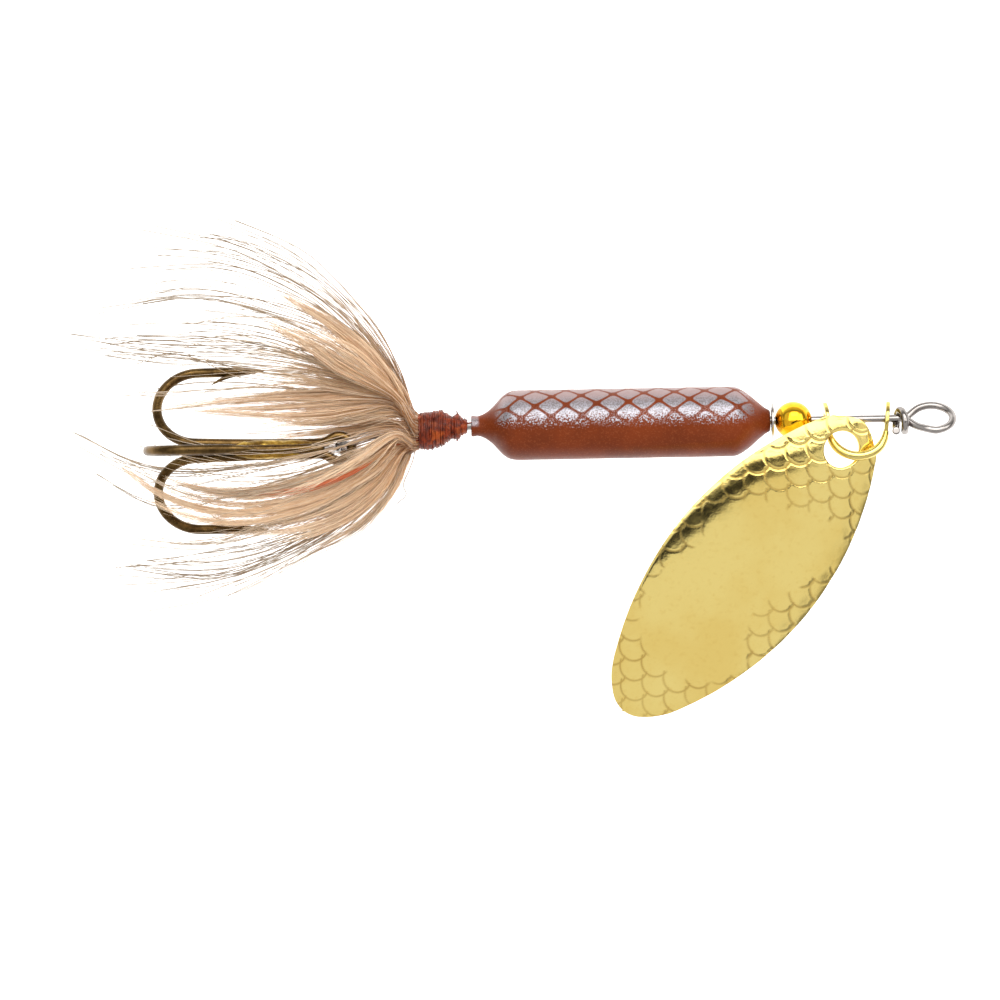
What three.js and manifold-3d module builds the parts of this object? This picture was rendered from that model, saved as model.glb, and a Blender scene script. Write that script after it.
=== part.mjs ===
// Inline spinner: a small fishing lure built on one formed wire.
// Millimetres, +Z up. The lure lies on its side on a table.
// Origin: the inner front of the line eye, where the line pulls. +X runs along the shaft towards the line eye,
// so the hook is at -X. The blade hangs to -Y.
import * as THREE from "three";
import { mergeVertices } from "three/addons/utils/BufferGeometryUtils.js";
import Module from "manifold-3d";

const wasm = await Module();
wasm.setup();

// ---- driving dimensions (mm) ----
const TABLE_Z = -2.47; // the plane the lure rests on

const WIRE_R = 0.275; // shaft wire radius
const WIRE_SIDES = 10;
const LOOP_TILT = 44; // degrees, the line eye's plane turned about the shaft
const LOOP_HALF_L = 1.475; // line eye, half length along the shaft, centreline
const LOOP_HALF_W = 1.24; // line eye, half width, centreline
const COIL_R = 0.74; // wrap behind the line eye, centreline radius
const COIL_Y = -0.165; // the wrap sits a little off the shaft
const REAR_LOOP_R = 0.95; // rear loop, centreline radius
const REAR_LOOP_TILT = 66; // degrees from the table
const REAR_LOOP_TIP = [-43.0, -1.36, 0.86]; // its rearmost centreline point

const BODY_R = 2.465;
const NOSE_X = -12.6,
  TAIL_X = -33.64;
const BORE_R = 0.31; // nose bore, running fit on the wire
const TAIL_BORE_R = 0.59; // takes the doubled wire

const WASHER = { x: -12.44, r: 1.34, t: 0.18, bore: 0.33 };
const BEAD = { x: -10.95, r: 1.32, bore: 0.33 };

const CLEVIS_X = -6.48; // middle of the clevis
const CLEVIS_TILT = 23; // degrees, its bend lifted off the table
const CLEVIS_WIRE_R = 0.325;
const CLEVIS_BEND_R = 2.0;
const CLEVIS_BEND_W = 0.82; // bend centre, from the shaft axis
const CLEVIS_FLARE = 6.5; // degrees, each leg leans out
const CLEVIS_EYE_R = 1.25; // along the leg
const CLEVIS_EYE_H = 1.08; // across the leg
const CLEVIS_EYE_T = 0.28;
const CLEVIS_HOLE_R = 0.43;

const BLADE_T = 0.3;
const BLADE_HOLE = [-7.695, -2.115]; // hole centre seen from above
const BLADE_HOLE_R = [1.3, 1.38]; // across and along, seen from above
const BLADE_DIR = [-0.651, -0.7591]; // from the head to the tip
const BLADE_HEAD = 2.55; // head end to hole centre
const BLADE_HANG = { z: 1.12, p: 0.1858, q: 0.013, tilt: 0.33, k: 0.055 }; // height of the sheet over the table plane's datum
// half width of the blade along its length, distance from the head end
const BLADE_OUTLINE = [
  [0, 0], [0.16, 0.62], [0.4, 1.08], [0.75, 1.57], [1.15, 2.13], [2.2, 2.88],
  [3.25, 3.38], [4.3, 3.83], [5.35, 4.25], [6.4, 4.6], [7.45, 4.91], [8.5, 5.16],
  [9.55, 5.35], [10.6, 5.48], [11.65, 5.61], [12.7, 5.66], [13.75, 5.65], [14.8, 5.61],
  [15.85, 5.5], [16.9, 5.37], [17.95, 5.15], [19.0, 4.91], [20.05, 4.63], [21.1, 4.28],
  [22.15, 3.88], [23.2, 3.43], [24.25, 2.9], [25.05, 2.36], [25.6, 1.88], [26.05, 1.33],
  [26.35, 0.8], [26.5, 0],
];

const HOOK_R = 0.345; // hook wire radius
const HOOK_SIDES = 10;
const TREBLE_Y = -1.4,
  TREBLE_Z = 1.08; // the treble's axis, along X
const HOOK_OUT = 6.4; // axis to the point leg
const HOOK_BEND_X = -52.9;
const HOOK_SHANK = 0.62; // axis to the shank at the bend
const HOOK_POINT_X = -48.1;
const EYE_X = -42.93,
  EYE_RING_R = 0.88,
  SHANK_Y = 0.381;

// ---- helpers ----
const V = (x, y, z) => new THREE.Vector3(x, y, z);
const rad = (d) => (d * Math.PI) / 180;
const lerp = (a, b, t) => a + (b - a) * t;

// A regular polygon with a flat side facing +x and -x.
function ngon(r, n, squash = 1) {
  const s = new THREE.Shape();
  for (let i = 0; i < n; i++) {
    const a = ((i + 0.5) * 2 * Math.PI) / n;
    const x = r * Math.cos(a),
      y = r * squash * Math.sin(a);
    i ? s.lineTo(x, y) : s.moveTo(x, y);
  }
  s.closePath();
  return s;
}

// An extrusion path through exact stations. Each station can scale the section.
class Rail extends THREE.Curve {
  constructor(points, { plane = null, from = 0, firstNormal = null, size = null } = {}) {
    super();
    this.points = points;
    this.size = size || points.map(() => [1, 1]);
    const n = points.length;
    this.tangents = points.map((p, i) => {
      const a = i > 0 ? p.clone().sub(points[i - 1]).normalize() : null;
      const b = i < n - 1 ? points[i + 1].clone().sub(p).normalize() : null;
      return (a && b ? a.add(b) : a || b).normalize();
    });
    const normals = new Array(n);
    if (plane) this.tangents.forEach((t, i) => (normals[i] = plane.clone().cross(t).normalize()));
    else {
      const t0 = this.tangents[from];
      const seed = firstNormal || (Math.abs(t0.z) < 0.9 ? V(0, 0, 1) : V(0, 1, 0));
      normals[from] = seed.clone().sub(t0.clone().multiplyScalar(seed.dot(t0))).normalize();
      const carry = (i, j) => {
        const q = new THREE.Quaternion().setFromUnitVectors(this.tangents[i], this.tangents[j]);
        normals[j] = normals[i].clone().applyQuaternion(q);
      };
      for (let i = from; i < n - 1; i++) carry(i, i + 1);
      for (let i = from; i > 0; i--) carry(i, i - 1);
    }
    this.unit = normals;
  }
  getUtoTmapping(u) {
    return u;
  }
  getPoint(t, target = new THREE.Vector3()) {
    const f = t * (this.points.length - 1),
      i = Math.min(this.points.length - 2, Math.floor(f));
    return target.copy(this.points[i]).lerp(this.points[i + 1], f - i);
  }
  computeFrenetFrames() {
    const normals = this.unit.map((n, i) => n.clone().multiplyScalar(this.size[i][0]));
    const binormals = this.unit.map((n, i) =>
      this.tangents[i].clone().cross(n).multiplyScalar(this.size[i][1]),
    );
    return { tangents: this.tangents, normals, binormals };
  }
}

const sweep = (section, rail) =>
  new THREE.ExtrudeGeometry(section, {
    steps: rail.points.length - 1,
    extrudePath: rail,
    bevelEnabled: false,
    curveSegments: 1,
  });

function solid(geometry) {
  const g = geometry.index ? geometry.toNonIndexed() : geometry.clone();
  const only = new THREE.BufferGeometry().setAttribute("position", g.getAttribute("position"));
  const m = mergeVertices(only, 1e-4);
  return new wasm.Manifold(
    new wasm.Mesh({
      numProp: 3,
      vertProperties: new Float32Array(m.attributes.position.array),
      triVerts: new Uint32Array(m.index.array),
    }),
  );
}

function geometryOf(manifold) {
  const mesh = manifold.getMesh();
  const g = new THREE.BufferGeometry();
  g.setAttribute("position", new THREE.BufferAttribute(new Float32Array(mesh.vertProperties), 3));
  g.setIndex(new THREE.BufferAttribute(new Uint32Array(mesh.triVerts), 1));
  return g;
}

// Turned about the X axis: profile of [x, r] pairs that closes on itself.
function turned(profile, segments) {
  const pts = profile.map(([x, r]) => new THREE.Vector2(r, x));
  pts.push(pts[0].clone());
  const g = new THREE.LatheGeometry(pts, segments);
  // The lathe's Y axis becomes X.
  g.applyMatrix4(new THREE.Matrix4().makeRotationZ(-Math.PI / 2));
  return solidOut(g);
}

// A closed geometry, turned right side out if its volume comes out negative.
function solidOut(g) {
  let s = solid(g);
  if (s.volume() < 0) {
    const flat = g.index ? g.toNonIndexed() : g;
    const p = flat.getAttribute("position").array.slice();
    for (let i = 0; i < p.length; i += 9)
      for (let k = 0; k < 3; k++) [p[i + 3 + k], p[i + 6 + k]] = [p[i + 6 + k], p[i + 3 + k]];
    s = solid(new THREE.BufferGeometry().setAttribute("position", new THREE.BufferAttribute(p, 3)));
  }
  return s;
}

const smooth = (points, count) => new THREE.CatmullRomCurve3(points, false, "centripetal").getPoints(count);

const steel = new THREE.MeshStandardMaterial({ color: 0x9c9a95, roughness: 0.28, metalness: 1 });
const paint = new THREE.MeshStandardMaterial({ color: 0x7c3a1e, roughness: 0.22, metalness: 0.1 });
const gold = new THREE.MeshStandardMaterial({ color: 0xd9b13c, roughness: 0.14, metalness: 1 });
const paleGold = new THREE.MeshStandardMaterial({ color: 0xe2cd78, roughness: 0.16, metalness: 1 });
const thread = new THREE.MeshStandardMaterial({ color: 0x8e3a1b, roughness: 0.5, metalness: 0 });
const bronze = new THREE.MeshStandardMaterial({ color: 0x5d4a28, roughness: 0.35, metalness: 1 });
const brass = new THREE.MeshStandardMaterial({ color: 0xb99a3a, roughness: 0.4, metalness: 1 });
const feather = new THREE.MeshStandardMaterial({ color: 0xc9a27a, roughness: 0.8, metalness: 0 });

const group = new THREE.Group();
function add(name, shape, material) {
  const mesh = new THREE.Mesh(shape.isBufferGeometry ? shape : geometryOf(shape), material);
  mesh.name = name;
  group.add(mesh);
  return mesh;
}

// ---- shaft wire ----
// The line eye lies in a plane through the shaft, turned LOOP_TILT about it.
const loopQ = V(0, Math.cos(rad(LOOP_TILT)), -Math.sin(rad(LOOP_TILT)));
const loopN = V(0, Math.sin(rad(LOOP_TILT)), Math.cos(rad(LOOP_TILT)));
const inLoop = (x, q, off = 0) => V(x, 0, 0).addScaledVector(loopQ, q).addScaledVector(loopN, off);

const coilX = [[180, -3.74], [270, -3.63], [360, -3.45], [400, -3.28], [450, -3.14], [540, -3.12], [600, -3.0], [650, -2.85]];
function coilPoint(a) {
  let i = 0;
  while (i < coilX.length - 2 && a > coilX[i + 1][0]) i++;
  const x = lerp(coilX[i][1], coilX[i + 1][1], (a - coilX[i][0]) / (coilX[i + 1][0] - coilX[i][0]));
  return V(x, COIL_Y + COIL_R * Math.cos(rad(a)), COIL_R * Math.sin(rad(a)));
}
const tagPoints = [V(-3.75, COIL_Y - COIL_R + 0.03, 0.46), V(-3.75, COIL_Y - COIL_R + 0.01, 0.24)];
const coilPoints = [];
for (let a = 180; a <= 650; a += 23.5) coilPoints.push(coilPoint(a));
const upper = smooth(
  [coilPoint(605), coilPoint(650), inLoop(-2.5, 0.86, -0.3), inLoop(-2.0, 1.12, -0.1), inLoop(-1.2 - 0.12, LOOP_HALF_W, 0), inLoop(-0.9, 1.21, 0)],
  15,
).slice(4, 13);
// Front half of the eye. Two stations share one x, so the inner face between them is flat and faces -X.
const facetX = (() => {
  const c8 = Math.cos(rad(8)), c24 = Math.cos(rad(24));
  const dx = LOOP_HALF_L * (c8 - c24), dq = LOOP_HALF_W * (Math.sin(rad(24)) - Math.sin(rad(8)));
  const half = Math.atan2(dx, dq) / 2;
  return WIRE_R * Math.cos(Math.PI / WIRE_SIDES) * Math.cos(half) - LOOP_HALF_L * c8;
})();
const eyePoint = (b) => inLoop(facetX + LOOP_HALF_L * Math.cos(rad(b)), LOOP_HALF_W * Math.sin(rad(b)));
const eyePoints = [];
for (const b of [88, 72, 56, 40, 24, 8, -8, -24, -40, -56, -72]) eyePoints.push(eyePoint(b));
const lower = smooth(
  [eyePoint(-72), inLoop(-1.0, -1.235), inLoop(-1.6, -1.07), V(-2.25, -0.58, 0.42), V(-2.68, -0.33, 0.2), V(-3.0, -0.1, 0.05), V(-3.35, 0, 0), V(-3.9, 0, 0)],
  16,
).slice(1);
const shaftPoints = [V(-8, 0, 0), V(-14, 0, 0), V(-19, 0, 0)];
const rearDir = V(0, Math.cos(rad(REAR_LOOP_TILT)), Math.sin(rad(REAR_LOOP_TILT)));
const rearTip = V(...REAR_LOOP_TIP);
const rearPoint = (b) =>
  rearTip
    .clone()
    .add(V(REAR_LOOP_R * (1 - Math.cos(rad(b))), 0, 0))
    .addScaledVector(rearDir, REAR_LOOP_R * Math.sin(rad(b)));
const strandA = smooth(
  [V(-19, 0, 0), V(-21.5, 0, 0.1), V(-24, 0, 0.27), V(-28, 0, 0.287), V(-33.64, 0, 0.287), V(-35.3, -0.1, 0.29), V(-37.4, -0.33, 0.34), V(-39.4, -0.48, 0.92), V(-41.0, -0.62, 1.5), rearPoint(90), rearPoint(60)],
  40,
).slice(1, -4);
const rearPoints = [];
for (const b of [75, 56, 37, 18, 0, -18, -37, -56, -75]) rearPoints.push(rearPoint(b));
const strandB = smooth(
  [rearPoint(-60), rearPoint(-90), V(-41.0, -1.5, -0.12), V(-39.4, -0.95, -0.3), V(-37.4, -0.37, -0.25), V(-35.3, -0.12, -0.285), V(-33.64, 0, -0.287), V(-31, 0, -0.287), V(-28.6, 0, -0.287)],
  32,
).slice(4);
const wirePoints = [...tagPoints, ...coilPoints, ...upper, ...eyePoints, ...lower, ...shaftPoints, ...strandA, ...rearPoints, ...strandB];
const facetAt = tagPoints.length + coilPoints.length + upper.length + 5;
const facetT = wirePoints[facetAt + 1].clone().sub(wirePoints[facetAt - 1]).normalize();
const wireRail = new Rail(wirePoints, { from: facetAt, firstNormal: loopN.clone().cross(facetT) });
add("shaft_wire", solid(sweep(ngon(WIRE_R, WIRE_SIDES), wireRail)), steel);

// ---- body ----
const bodyOutside = [
  [NOSE_X, 0.68], [-12.66, 0.78], [-12.95, 0.93], [-13.4, 1.3], [-14.05, 1.86], [-14.6, 2.24], [-15.0, 2.42], [-15.5, BODY_R],
  [-30.4, BODY_R], [-30.95, 2.36], [-31.35, 2.12], [-31.75, 1.72], [-32.15, 1.28], [-32.6, 0.93], [-32.95, 0.76], [-33.2, 0.69], [-33.4, 0.74], [-33.56, 0.74], [TAIL_X, 0.69],
];
const bodyBore = [[TAIL_X, TAIL_BORE_R], [-21.5, TAIL_BORE_R], [-17.5, BORE_R], [NOSE_X, BORE_R]];
add("body", turned([...bodyOutside, ...bodyBore], 32), paint);

// ---- washer and bead ----
const w0 = WASHER.x - WASHER.t / 2, w1 = WASHER.x + WASHER.t / 2;
add("washer", turned([[w1, WASHER.bore], [w1, WASHER.r - 0.03], [WASHER.x, WASHER.r], [w0, WASHER.r - 0.03], [w0, WASHER.bore]], 28), steel);
const beadProfile = [];
const beadEnd = Math.acos((BEAD.bore + 0.07) / BEAD.r);
for (let i = 0; i <= 12; i++) {
  const a = lerp(beadEnd, -beadEnd, i / 12);
  beadProfile.push([BEAD.x + BEAD.r * Math.sin(a), BEAD.r * Math.cos(a)]);
}
const beadFace = BEAD.r * Math.sin(beadEnd) + 0.015;
add("bead", turned([[BEAD.x + beadFace, BEAD.bore], ...beadProfile, [BEAD.x - beadFace, BEAD.bore]], 24), gold);

// ---- clevis ----
// Its own plane: e1 along the shaft, e2 from the shaft to the bend, e3 square to both.
const cphi = Math.cos(rad(CLEVIS_TILT)), sphi = Math.sin(rad(CLEVIS_TILT));
const e2 = V(0, -cphi, sphi), e3 = V(0, -sphi, -cphi);
const inClevis = (x, w, h = 0) => V(CLEVIS_X + x, 0, 0).addScaledVector(e2, w).addScaledVector(e3, h);
const flare = rad(CLEVIS_FLARE);
const legStart = [-CLEVIS_BEND_R * Math.cos(flare), CLEVIS_BEND_W + CLEVIS_BEND_R * Math.sin(flare)];
const legPoint = (w) => [legStart[0] - (legStart[1] - w) * Math.tan(flare), w];
const half = [
  [legPoint(0.0), 0.14, 0.8], [legPoint(0.4), 0.14, 0.8], [legPoint(0.7), 0.145, 0.74], [legPoint(0.95), 0.17, 0.58],
  [legStart, 0.215, 0.44], [null, 0.275, 0.36, 157], [null, 0.315, 0.33, 143],
];
const clevisStations = [];
for (const [at, a, b, deg] of half) {
  const p = at || [CLEVIS_BEND_R * Math.cos(rad(deg)), CLEVIS_BEND_W + CLEVIS_BEND_R * Math.sin(rad(deg))];
  clevisStations.push([p, a / CLEVIS_WIRE_R, b / CLEVIS_WIRE_R]);
}
for (let d = 131; d >= 49; d -= 11.714)
  clevisStations.push([[CLEVIS_BEND_R * Math.cos(rad(d)), CLEVIS_BEND_W + CLEVIS_BEND_R * Math.sin(rad(d))], 1, 1]);
for (const s of [...half].reverse()) {
  const [at, a, b, deg] = s;
  const p = at || [CLEVIS_BEND_R * Math.cos(rad(deg)), CLEVIS_BEND_W + CLEVIS_BEND_R * Math.sin(rad(deg))];
  clevisStations.push([[-p[0], p[1]], a / CLEVIS_WIRE_R, b / CLEVIS_WIRE_R]);
}
const clevisRail = new Rail(clevisStations.map(([p]) => inClevis(p[0], p[1])), { plane: e3, size: clevisStations.map(([, a, b]) => [a, b]) });
let clevis = solidOut(sweep(ngon(CLEVIS_WIRE_R, 12), clevisRail));
function eyeDisc(side, r, across, t) {
  const s = new THREE.Shape();
  s.absellipse(0, 0, r, across, 0, 2 * Math.PI);
  const g = new THREE.ExtrudeGeometry(s, { depth: t, bevelEnabled: false, steps: 1, curveSegments: 14 });
  g.translate(0, 0, -t / 2);
  // Its axis is square to the flared leg.
  const [px, pw] = legPoint(0);
  const axis = V(1, 0, 0).multiplyScalar(Math.cos(flare)).addScaledVector(e2, side * Math.sin(flare)).normalize();
  const at = inClevis(side * Math.abs(px), pw);
  g.applyMatrix4(new THREE.Matrix4().makeBasis(e3.clone().cross(axis), e3, axis).setPosition(at));
  return solidOut(g);
}
for (const side of [-1, 1]) clevis = clevis.add(eyeDisc(side, CLEVIS_EYE_R, CLEVIS_EYE_H, CLEVIS_EYE_T));
for (const side of [-1, 1]) clevis = clevis.subtract(eyeDisc(side, CLEVIS_HOLE_R, CLEVIS_HOLE_R, 1.2));
add("clevis", clevis, gold);

// ---- blade ----
// Height of the sheet's middle at s along the blade from the hole and v across it.
const bladeAcross = [-0.7591, 0.651];
function bladeHeight(s, v) {
  const b = BLADE_HANG;
  return b.z + b.p * s - b.q * s * s + b.tilt * v - (b.k / 2) * v * v;
}
const bladeXY = (s, v) => [
  BLADE_HOLE[0] + BLADE_DIR[0] * s + bladeAcross[0] * v,
  BLADE_HOLE[1] + BLADE_DIR[1] * s + bladeAcross[1] * v,
];
function bladeSheet() {
  const NS = 22, NV = 12;
  const s0 = -BLADE_HEAD - 0.6, s1 = 26.5 - BLADE_HEAD + 0.6, v1 = 6.1;
  const g = new THREE.BoxGeometry(1, 1, 1, NS, NV, 1);
  const p = g.getAttribute("position");
  for (let i = 0; i < p.count; i++) {
    const s = lerp(s0, s1, p.getX(i) + 0.5), v = lerp(-v1, v1, p.getY(i) + 0.5);
    const [x, y] = bladeXY(s, v), z = bladeHeight(s, v);
    const gs = BLADE_HANG.p - 2 * BLADE_HANG.q * s, gv = BLADE_HANG.tilt - BLADE_HANG.k * v;
    const n = V(-gs * BLADE_DIR[0] - gv * bladeAcross[0], -gs * BLADE_DIR[1] - gv * bladeAcross[1], 1).normalize();
    const h = (p.getZ(i) > 0 ? 0.5 : -0.5) * BLADE_T;
    p.setXYZ(i, x + n.x * h, y + n.y * h, z + n.z * h);
  }
  return solidOut(g);
}
function bladePrism() {
  const shape = new THREE.Shape();
  const side = (sign) => BLADE_OUTLINE.map(([d, w]) => bladeXY(d - BLADE_HEAD, sign * w));
  const ring = [...side(1), ...side(-1).slice(1, -1).reverse()];
  ring.forEach(([x, y], i) => (i ? shape.lineTo(x, y) : shape.moveTo(x, y)));
  shape.closePath();
  const hole = new THREE.Path();
  for (let i = 0; i < 20; i++) {
    const a = (i * 2 * Math.PI) / 20;
    const [x, y] = bladeXY(BLADE_HOLE_R[1] * Math.cos(a), BLADE_HOLE_R[0] * Math.sin(a));
    i ? hole.lineTo(x, y) : hole.moveTo(x, y);
  }
  hole.closePath();
  shape.holes.push(hole);
  const g = new THREE.ExtrudeGeometry(shape, { depth: 12, bevelEnabled: false, steps: 1, curveSegments: 1 });
  g.translate(0, 0, -6);
  return solidOut(g);
}
add("blade", bladeSheet().intersect(bladePrism()), paleGold);

// ---- thread wrap ----
const threadStations = [
  [-33.9, 0, 0, 0.37, 0.66], [-34.3, -0.01, 0, 0.56, 0.74], [-34.6, -0.03, 0, 0.82, 0.86], [-34.85, -0.05, 0, 0.72, 0.8],
  [-35.25, -0.1, 0, 0.87, 0.9], [-35.85, -0.18, 0.01, 1.12, 1.08], [-36.5, -0.26, 0.02, 1.18, 1.12], [-37.15, -0.31, 0.03, 1.14, 1.08], [-37.42, -0.33, 0.03, 1.02, 0.98],
];
const threadRail = new Rail(threadStations.map(([x, y, z]) => V(x, y, z)), {
  firstNormal: V(0, 1, 0),
  size: threadStations.map((s) => [s[3], s[4]]),
});
const channel = (points) => solid(sweep(ngon(WIRE_R + 0.03, 12), new Rail(points)));
const near = (list) => list.filter((p) => p.x < -33.0 && p.x > -38.6);
add(
  "thread_wrap",
  solidOut(sweep(ngon(1, 20), threadRail)).subtract(channel(near(strandA))).subtract(channel(near(strandB))),
  thread,
);

// ---- treble ----
const hookPlane = (deg) => V(0, Math.cos(rad(deg)), Math.sin(rad(deg)));
const onHook = (deg, x, r) => V(x, TREBLE_Y, TREBLE_Z).addScaledVector(hookPlane(deg), r);
const bendR = (HOOK_OUT - HOOK_SHANK) / 2;
// Stations of one hook from its tip to the front of its shank: point, section scale.
function hookStations(deg, longer, frontX) {
  const bx = HOOK_BEND_X - longer, out = [];
  out.push([onHook(deg, HOOK_POINT_X - longer, HOOK_OUT + 0.12), 0.09]);
  out.push([onHook(deg, HOOK_POINT_X - longer - 0.9, HOOK_OUT + 0.09), 0.55]);
  out.push([onHook(deg, HOOK_POINT_X - longer - 1.9, HOOK_OUT + 0.05), 0.93]);
  out.push([onHook(deg, HOOK_POINT_X - longer - 2.6, HOOK_OUT + 0.02), 1]);
  for (let a = 90; a <= 270; a += 15)
    out.push([onHook(deg, bx + bendR * Math.cos(rad(a)), HOOK_OUT - bendR + bendR * Math.sin(rad(a))), 1]);
  out.push([onHook(deg, -50.6, 0.53), 1]);
  out.push([onHook(deg, -48.4, 0.475), 1]);
  out.push([onHook(deg, frontX, 0.44), 1]);
  return out;
}
// The barb: a sliver raised from the inner side of the point leg, leaning back to the bend.
function barb(deg, longer) {
  const x = HOOK_POINT_X - longer;
  const pts = [onHook(deg, x - 2.0, HOOK_OUT - 0.1), onHook(deg, x - 2.9, HOOK_OUT - 0.42), onHook(deg, x - 3.5, HOOK_OUT - 0.74), onHook(deg, x - 3.95, HOOK_OUT - 1.02)];
  return solid(sweep(ngon(0.2, 6), new Rail(pts, { firstNormal: hookPlane(deg), size: [[0.9, 1], [0.8, 0.9], [0.5, 0.6], [0.12, 0.2]] })));
}
const eyeZ = TREBLE_Z - 0.22;
const a1 = hookStations(-30, 0, -44.4), a2 = hookStations(210, 0, -44.4);
const ring = [];
for (let d = 125; d >= -125; d -= 17.857) ring.push(V(EYE_X + EYE_RING_R * Math.cos(rad(d)), TREBLE_Y + EYE_RING_R * Math.sin(rad(d)), eyeZ));
const joinAt = (side) => {
  const p3 = V(EYE_X + EYE_RING_R * Math.cos(rad(125)), TREBLE_Y + side * EYE_RING_R * Math.sin(rad(125)), eyeZ);
  const t = V(0.819, side * 0.574, 0);
  const y = TREBLE_Y + side * SHANK_Y;
  return new THREE.CubicBezierCurve3(V(-44.4, y, eyeZ), V(-44.1, y, eyeZ), p3.clone().addScaledVector(t, -0.45), p3).getPoints(5).slice(1, -1);
};
const doublePoints = [...a1, ...joinAt(1).map((p) => [p, 1]), ...ring.map((p) => [p, 1]), ...joinAt(-1).reverse().map((p) => [p, 1]), ...a2.reverse()];
const doubleRail = new Rail(doublePoints.map(([p]) => p), { firstNormal: V(0, 0, 1), size: doublePoints.map(([, s]) => [s, s]) });
const hookSection = ngon(HOOK_R, HOOK_SIDES);
add("treble_double_hook", solidOut(sweep(hookSection, doubleRail)).add(barb(-30, 0)).add(barb(210, 0)), bronze);

const a3 = hookStations(90, 0.25, -44.25);
const thirdRail = new Rail(a3.map(([p]) => p), { plane: V(0, 1, 0), size: a3.map(([, s]) => [s, s]) });
add("treble_third_hook", solidOut(sweep(hookSection, thirdRail)).add(barb(90, 0.25)), bronze);

// Brass fillet between the three shanks.
const axisPoint = (x) => V(x, TREBLE_Y, TREBLE_Z);
const brazeRail = new Rail([-50.3, -49.9, -49.2, -45.6, -45.0, -44.75].map(axisPoint), {
  firstNormal: V(0, 1, 0),
  size: [[0.36, 0.36], [0.56, 0.56], [0.63, 0.63], [0.61, 0.61], [0.52, 0.52], [0.3, 0.3]],
});
let braze = solidOut(sweep(ngon(1, 18), brazeRail));
for (const deg of [-30, 90, 210]) {
  const pts = [-53.0, -50.6, -48.4, -44.3].map((x, i) => onHook(deg, x, [0.62, 0.53, 0.475, 0.44][i]));
  braze = braze.subtract(solid(sweep(ngon(HOOK_R + 0.022, 12), new Rail(pts))));
}
const brazeParts = braze.decompose().sort((a, b) => b.volume() - a.volume());
add("treble_braze", brazeParts[0], brass);

// ---- hackle ----
// Each feather: a thin leaf from its root at the back of the thread. [x, y, z, half width, half thickness], and the
// direction its flat side faces at the tip.
const HACKLE_X = -37.63, HACKLE_Y = -0.34, HACKLE_Z = 0.04, HACKLE_ROOT_R = 0.77;
const FEATHERS = [
  // above the hook, towards +Y
  [62, [[-40.1, 3.0, 1.2], [-42.4, 5.6, 1.9], [-45.6, 8.3, 2.3], [-49.4, 10.7, 2.5]], 0.62, [0, 0.2, 1]],
  [100, [[-40.0, 1.9, 2.4], [-43.1, 3.8, 4.3], [-47.3, 5.6, 5.4], [-51.6, 6.9, 5.9]], 0.75, [0, 0.4, 1]],
  [22, [[-40.4, 2.0, 0.6], [-44.2, 3.2, 1.5], [-48.8, 3.2, 2.2], [-53.8, 2.4, 2.5]], 1.0, [0, 0, 1]],
  [-18, [[-40.3, 2.2, -0.6], [-43.6, 4.6, -1.4], [-48.0, 6.6, -1.9], [-52.6, 7.6, -1.9]], 0.8, [0, 0, 1]],
  // under the hook
  [-62, [[-40.4, 0.1, -1.6], [-44.6, -0.7, -2.05], [-49.6, -1.2, -2.1], [-55.4, -1.5, -2.0]], 0.9, [0, 0, 1]],
  // towards -Y
  [-100, [[-39.9, -2.9, -1.2], [-42.2, -6.2, -1.7], [-45.8, -9.3, -1.9], [-50.6, -12.0, -1.9]], 0.7, [0, 0, 1]],
  [-142, [[-39.8, -3.2, -0.2], [-42.6, -6.5, 0.3], [-46.6, -8.4, 0.5], [-52.6, -9.2, 0.5]], 1.0, [0, 0, 1]],
  [178, [[-40.2, -2.5, 0.7], [-43.9, -4.5, 1.2], [-48.6, -5.0, 1.5], [-57.2, -3.2, 1.6]], 0.85, [0, 0, 1]],
  [140, [[-40.2, -1.4, 2.4], [-43.4, -3.3, 4.0], [-47.6, -5.0, 4.9], [-52.2, -6.6, 5.2]], 0.75, [0, -0.4, 1]],
];
FEATHERS.forEach(([deg, path, widest, flat], i) => {
  const out = V(0, Math.cos(rad(deg)), Math.sin(rad(deg)));
  const root = V(HACKLE_X, HACKLE_Y, HACKLE_Z).addScaledVector(out, HACKLE_ROOT_R);
  const near1 = root.clone().add(V(-0.8, 0, 0)).addScaledVector(out, 0.3);
  const pts = smooth([root, near1, ...path.map((p) => V(...p))], 10);
  const side = V(...flat).normalize();
  const n = pts.length;
  const size = pts.map((p, k) => {
    const t = k / (n - 1);
    const w = lerp(0.19, widest, Math.min(1, Math.pow(t / 0.5, 1.7))) * (t > 0.7 ? lerp(1, 0.12, Math.pow((t - 0.7) / 0.3, 1.4)) : 1);
    const h = lerp(0.11, 0.24, Math.min(1, t / 0.4)) * (t > 0.7 ? lerp(1, 0.25, (t - 0.7) / 0.3) : 1);
    return [h, w];
  });
  const rail = new Rail(pts, { size });
  // The leaf's flat side turns from facing out at the root to its own direction at the tip.
  rail.unit = pts.map((p, k) => {
    const t = Math.min(1, (k / (n - 1)) * 2.2);
    const want = out.clone().multiplyScalar(1 - t).addScaledVector(side, t * (side.dot(out) < -0.2 ? -1 : 1));
    const tan = rail.tangents[k];
    return want.sub(tan.clone().multiplyScalar(want.dot(tan))).normalize();
  });
  add("hackle_feather_" + (i + 1), solidOut(sweep(ngon(1, 8), rail)), feather);
});

export default group;
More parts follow.
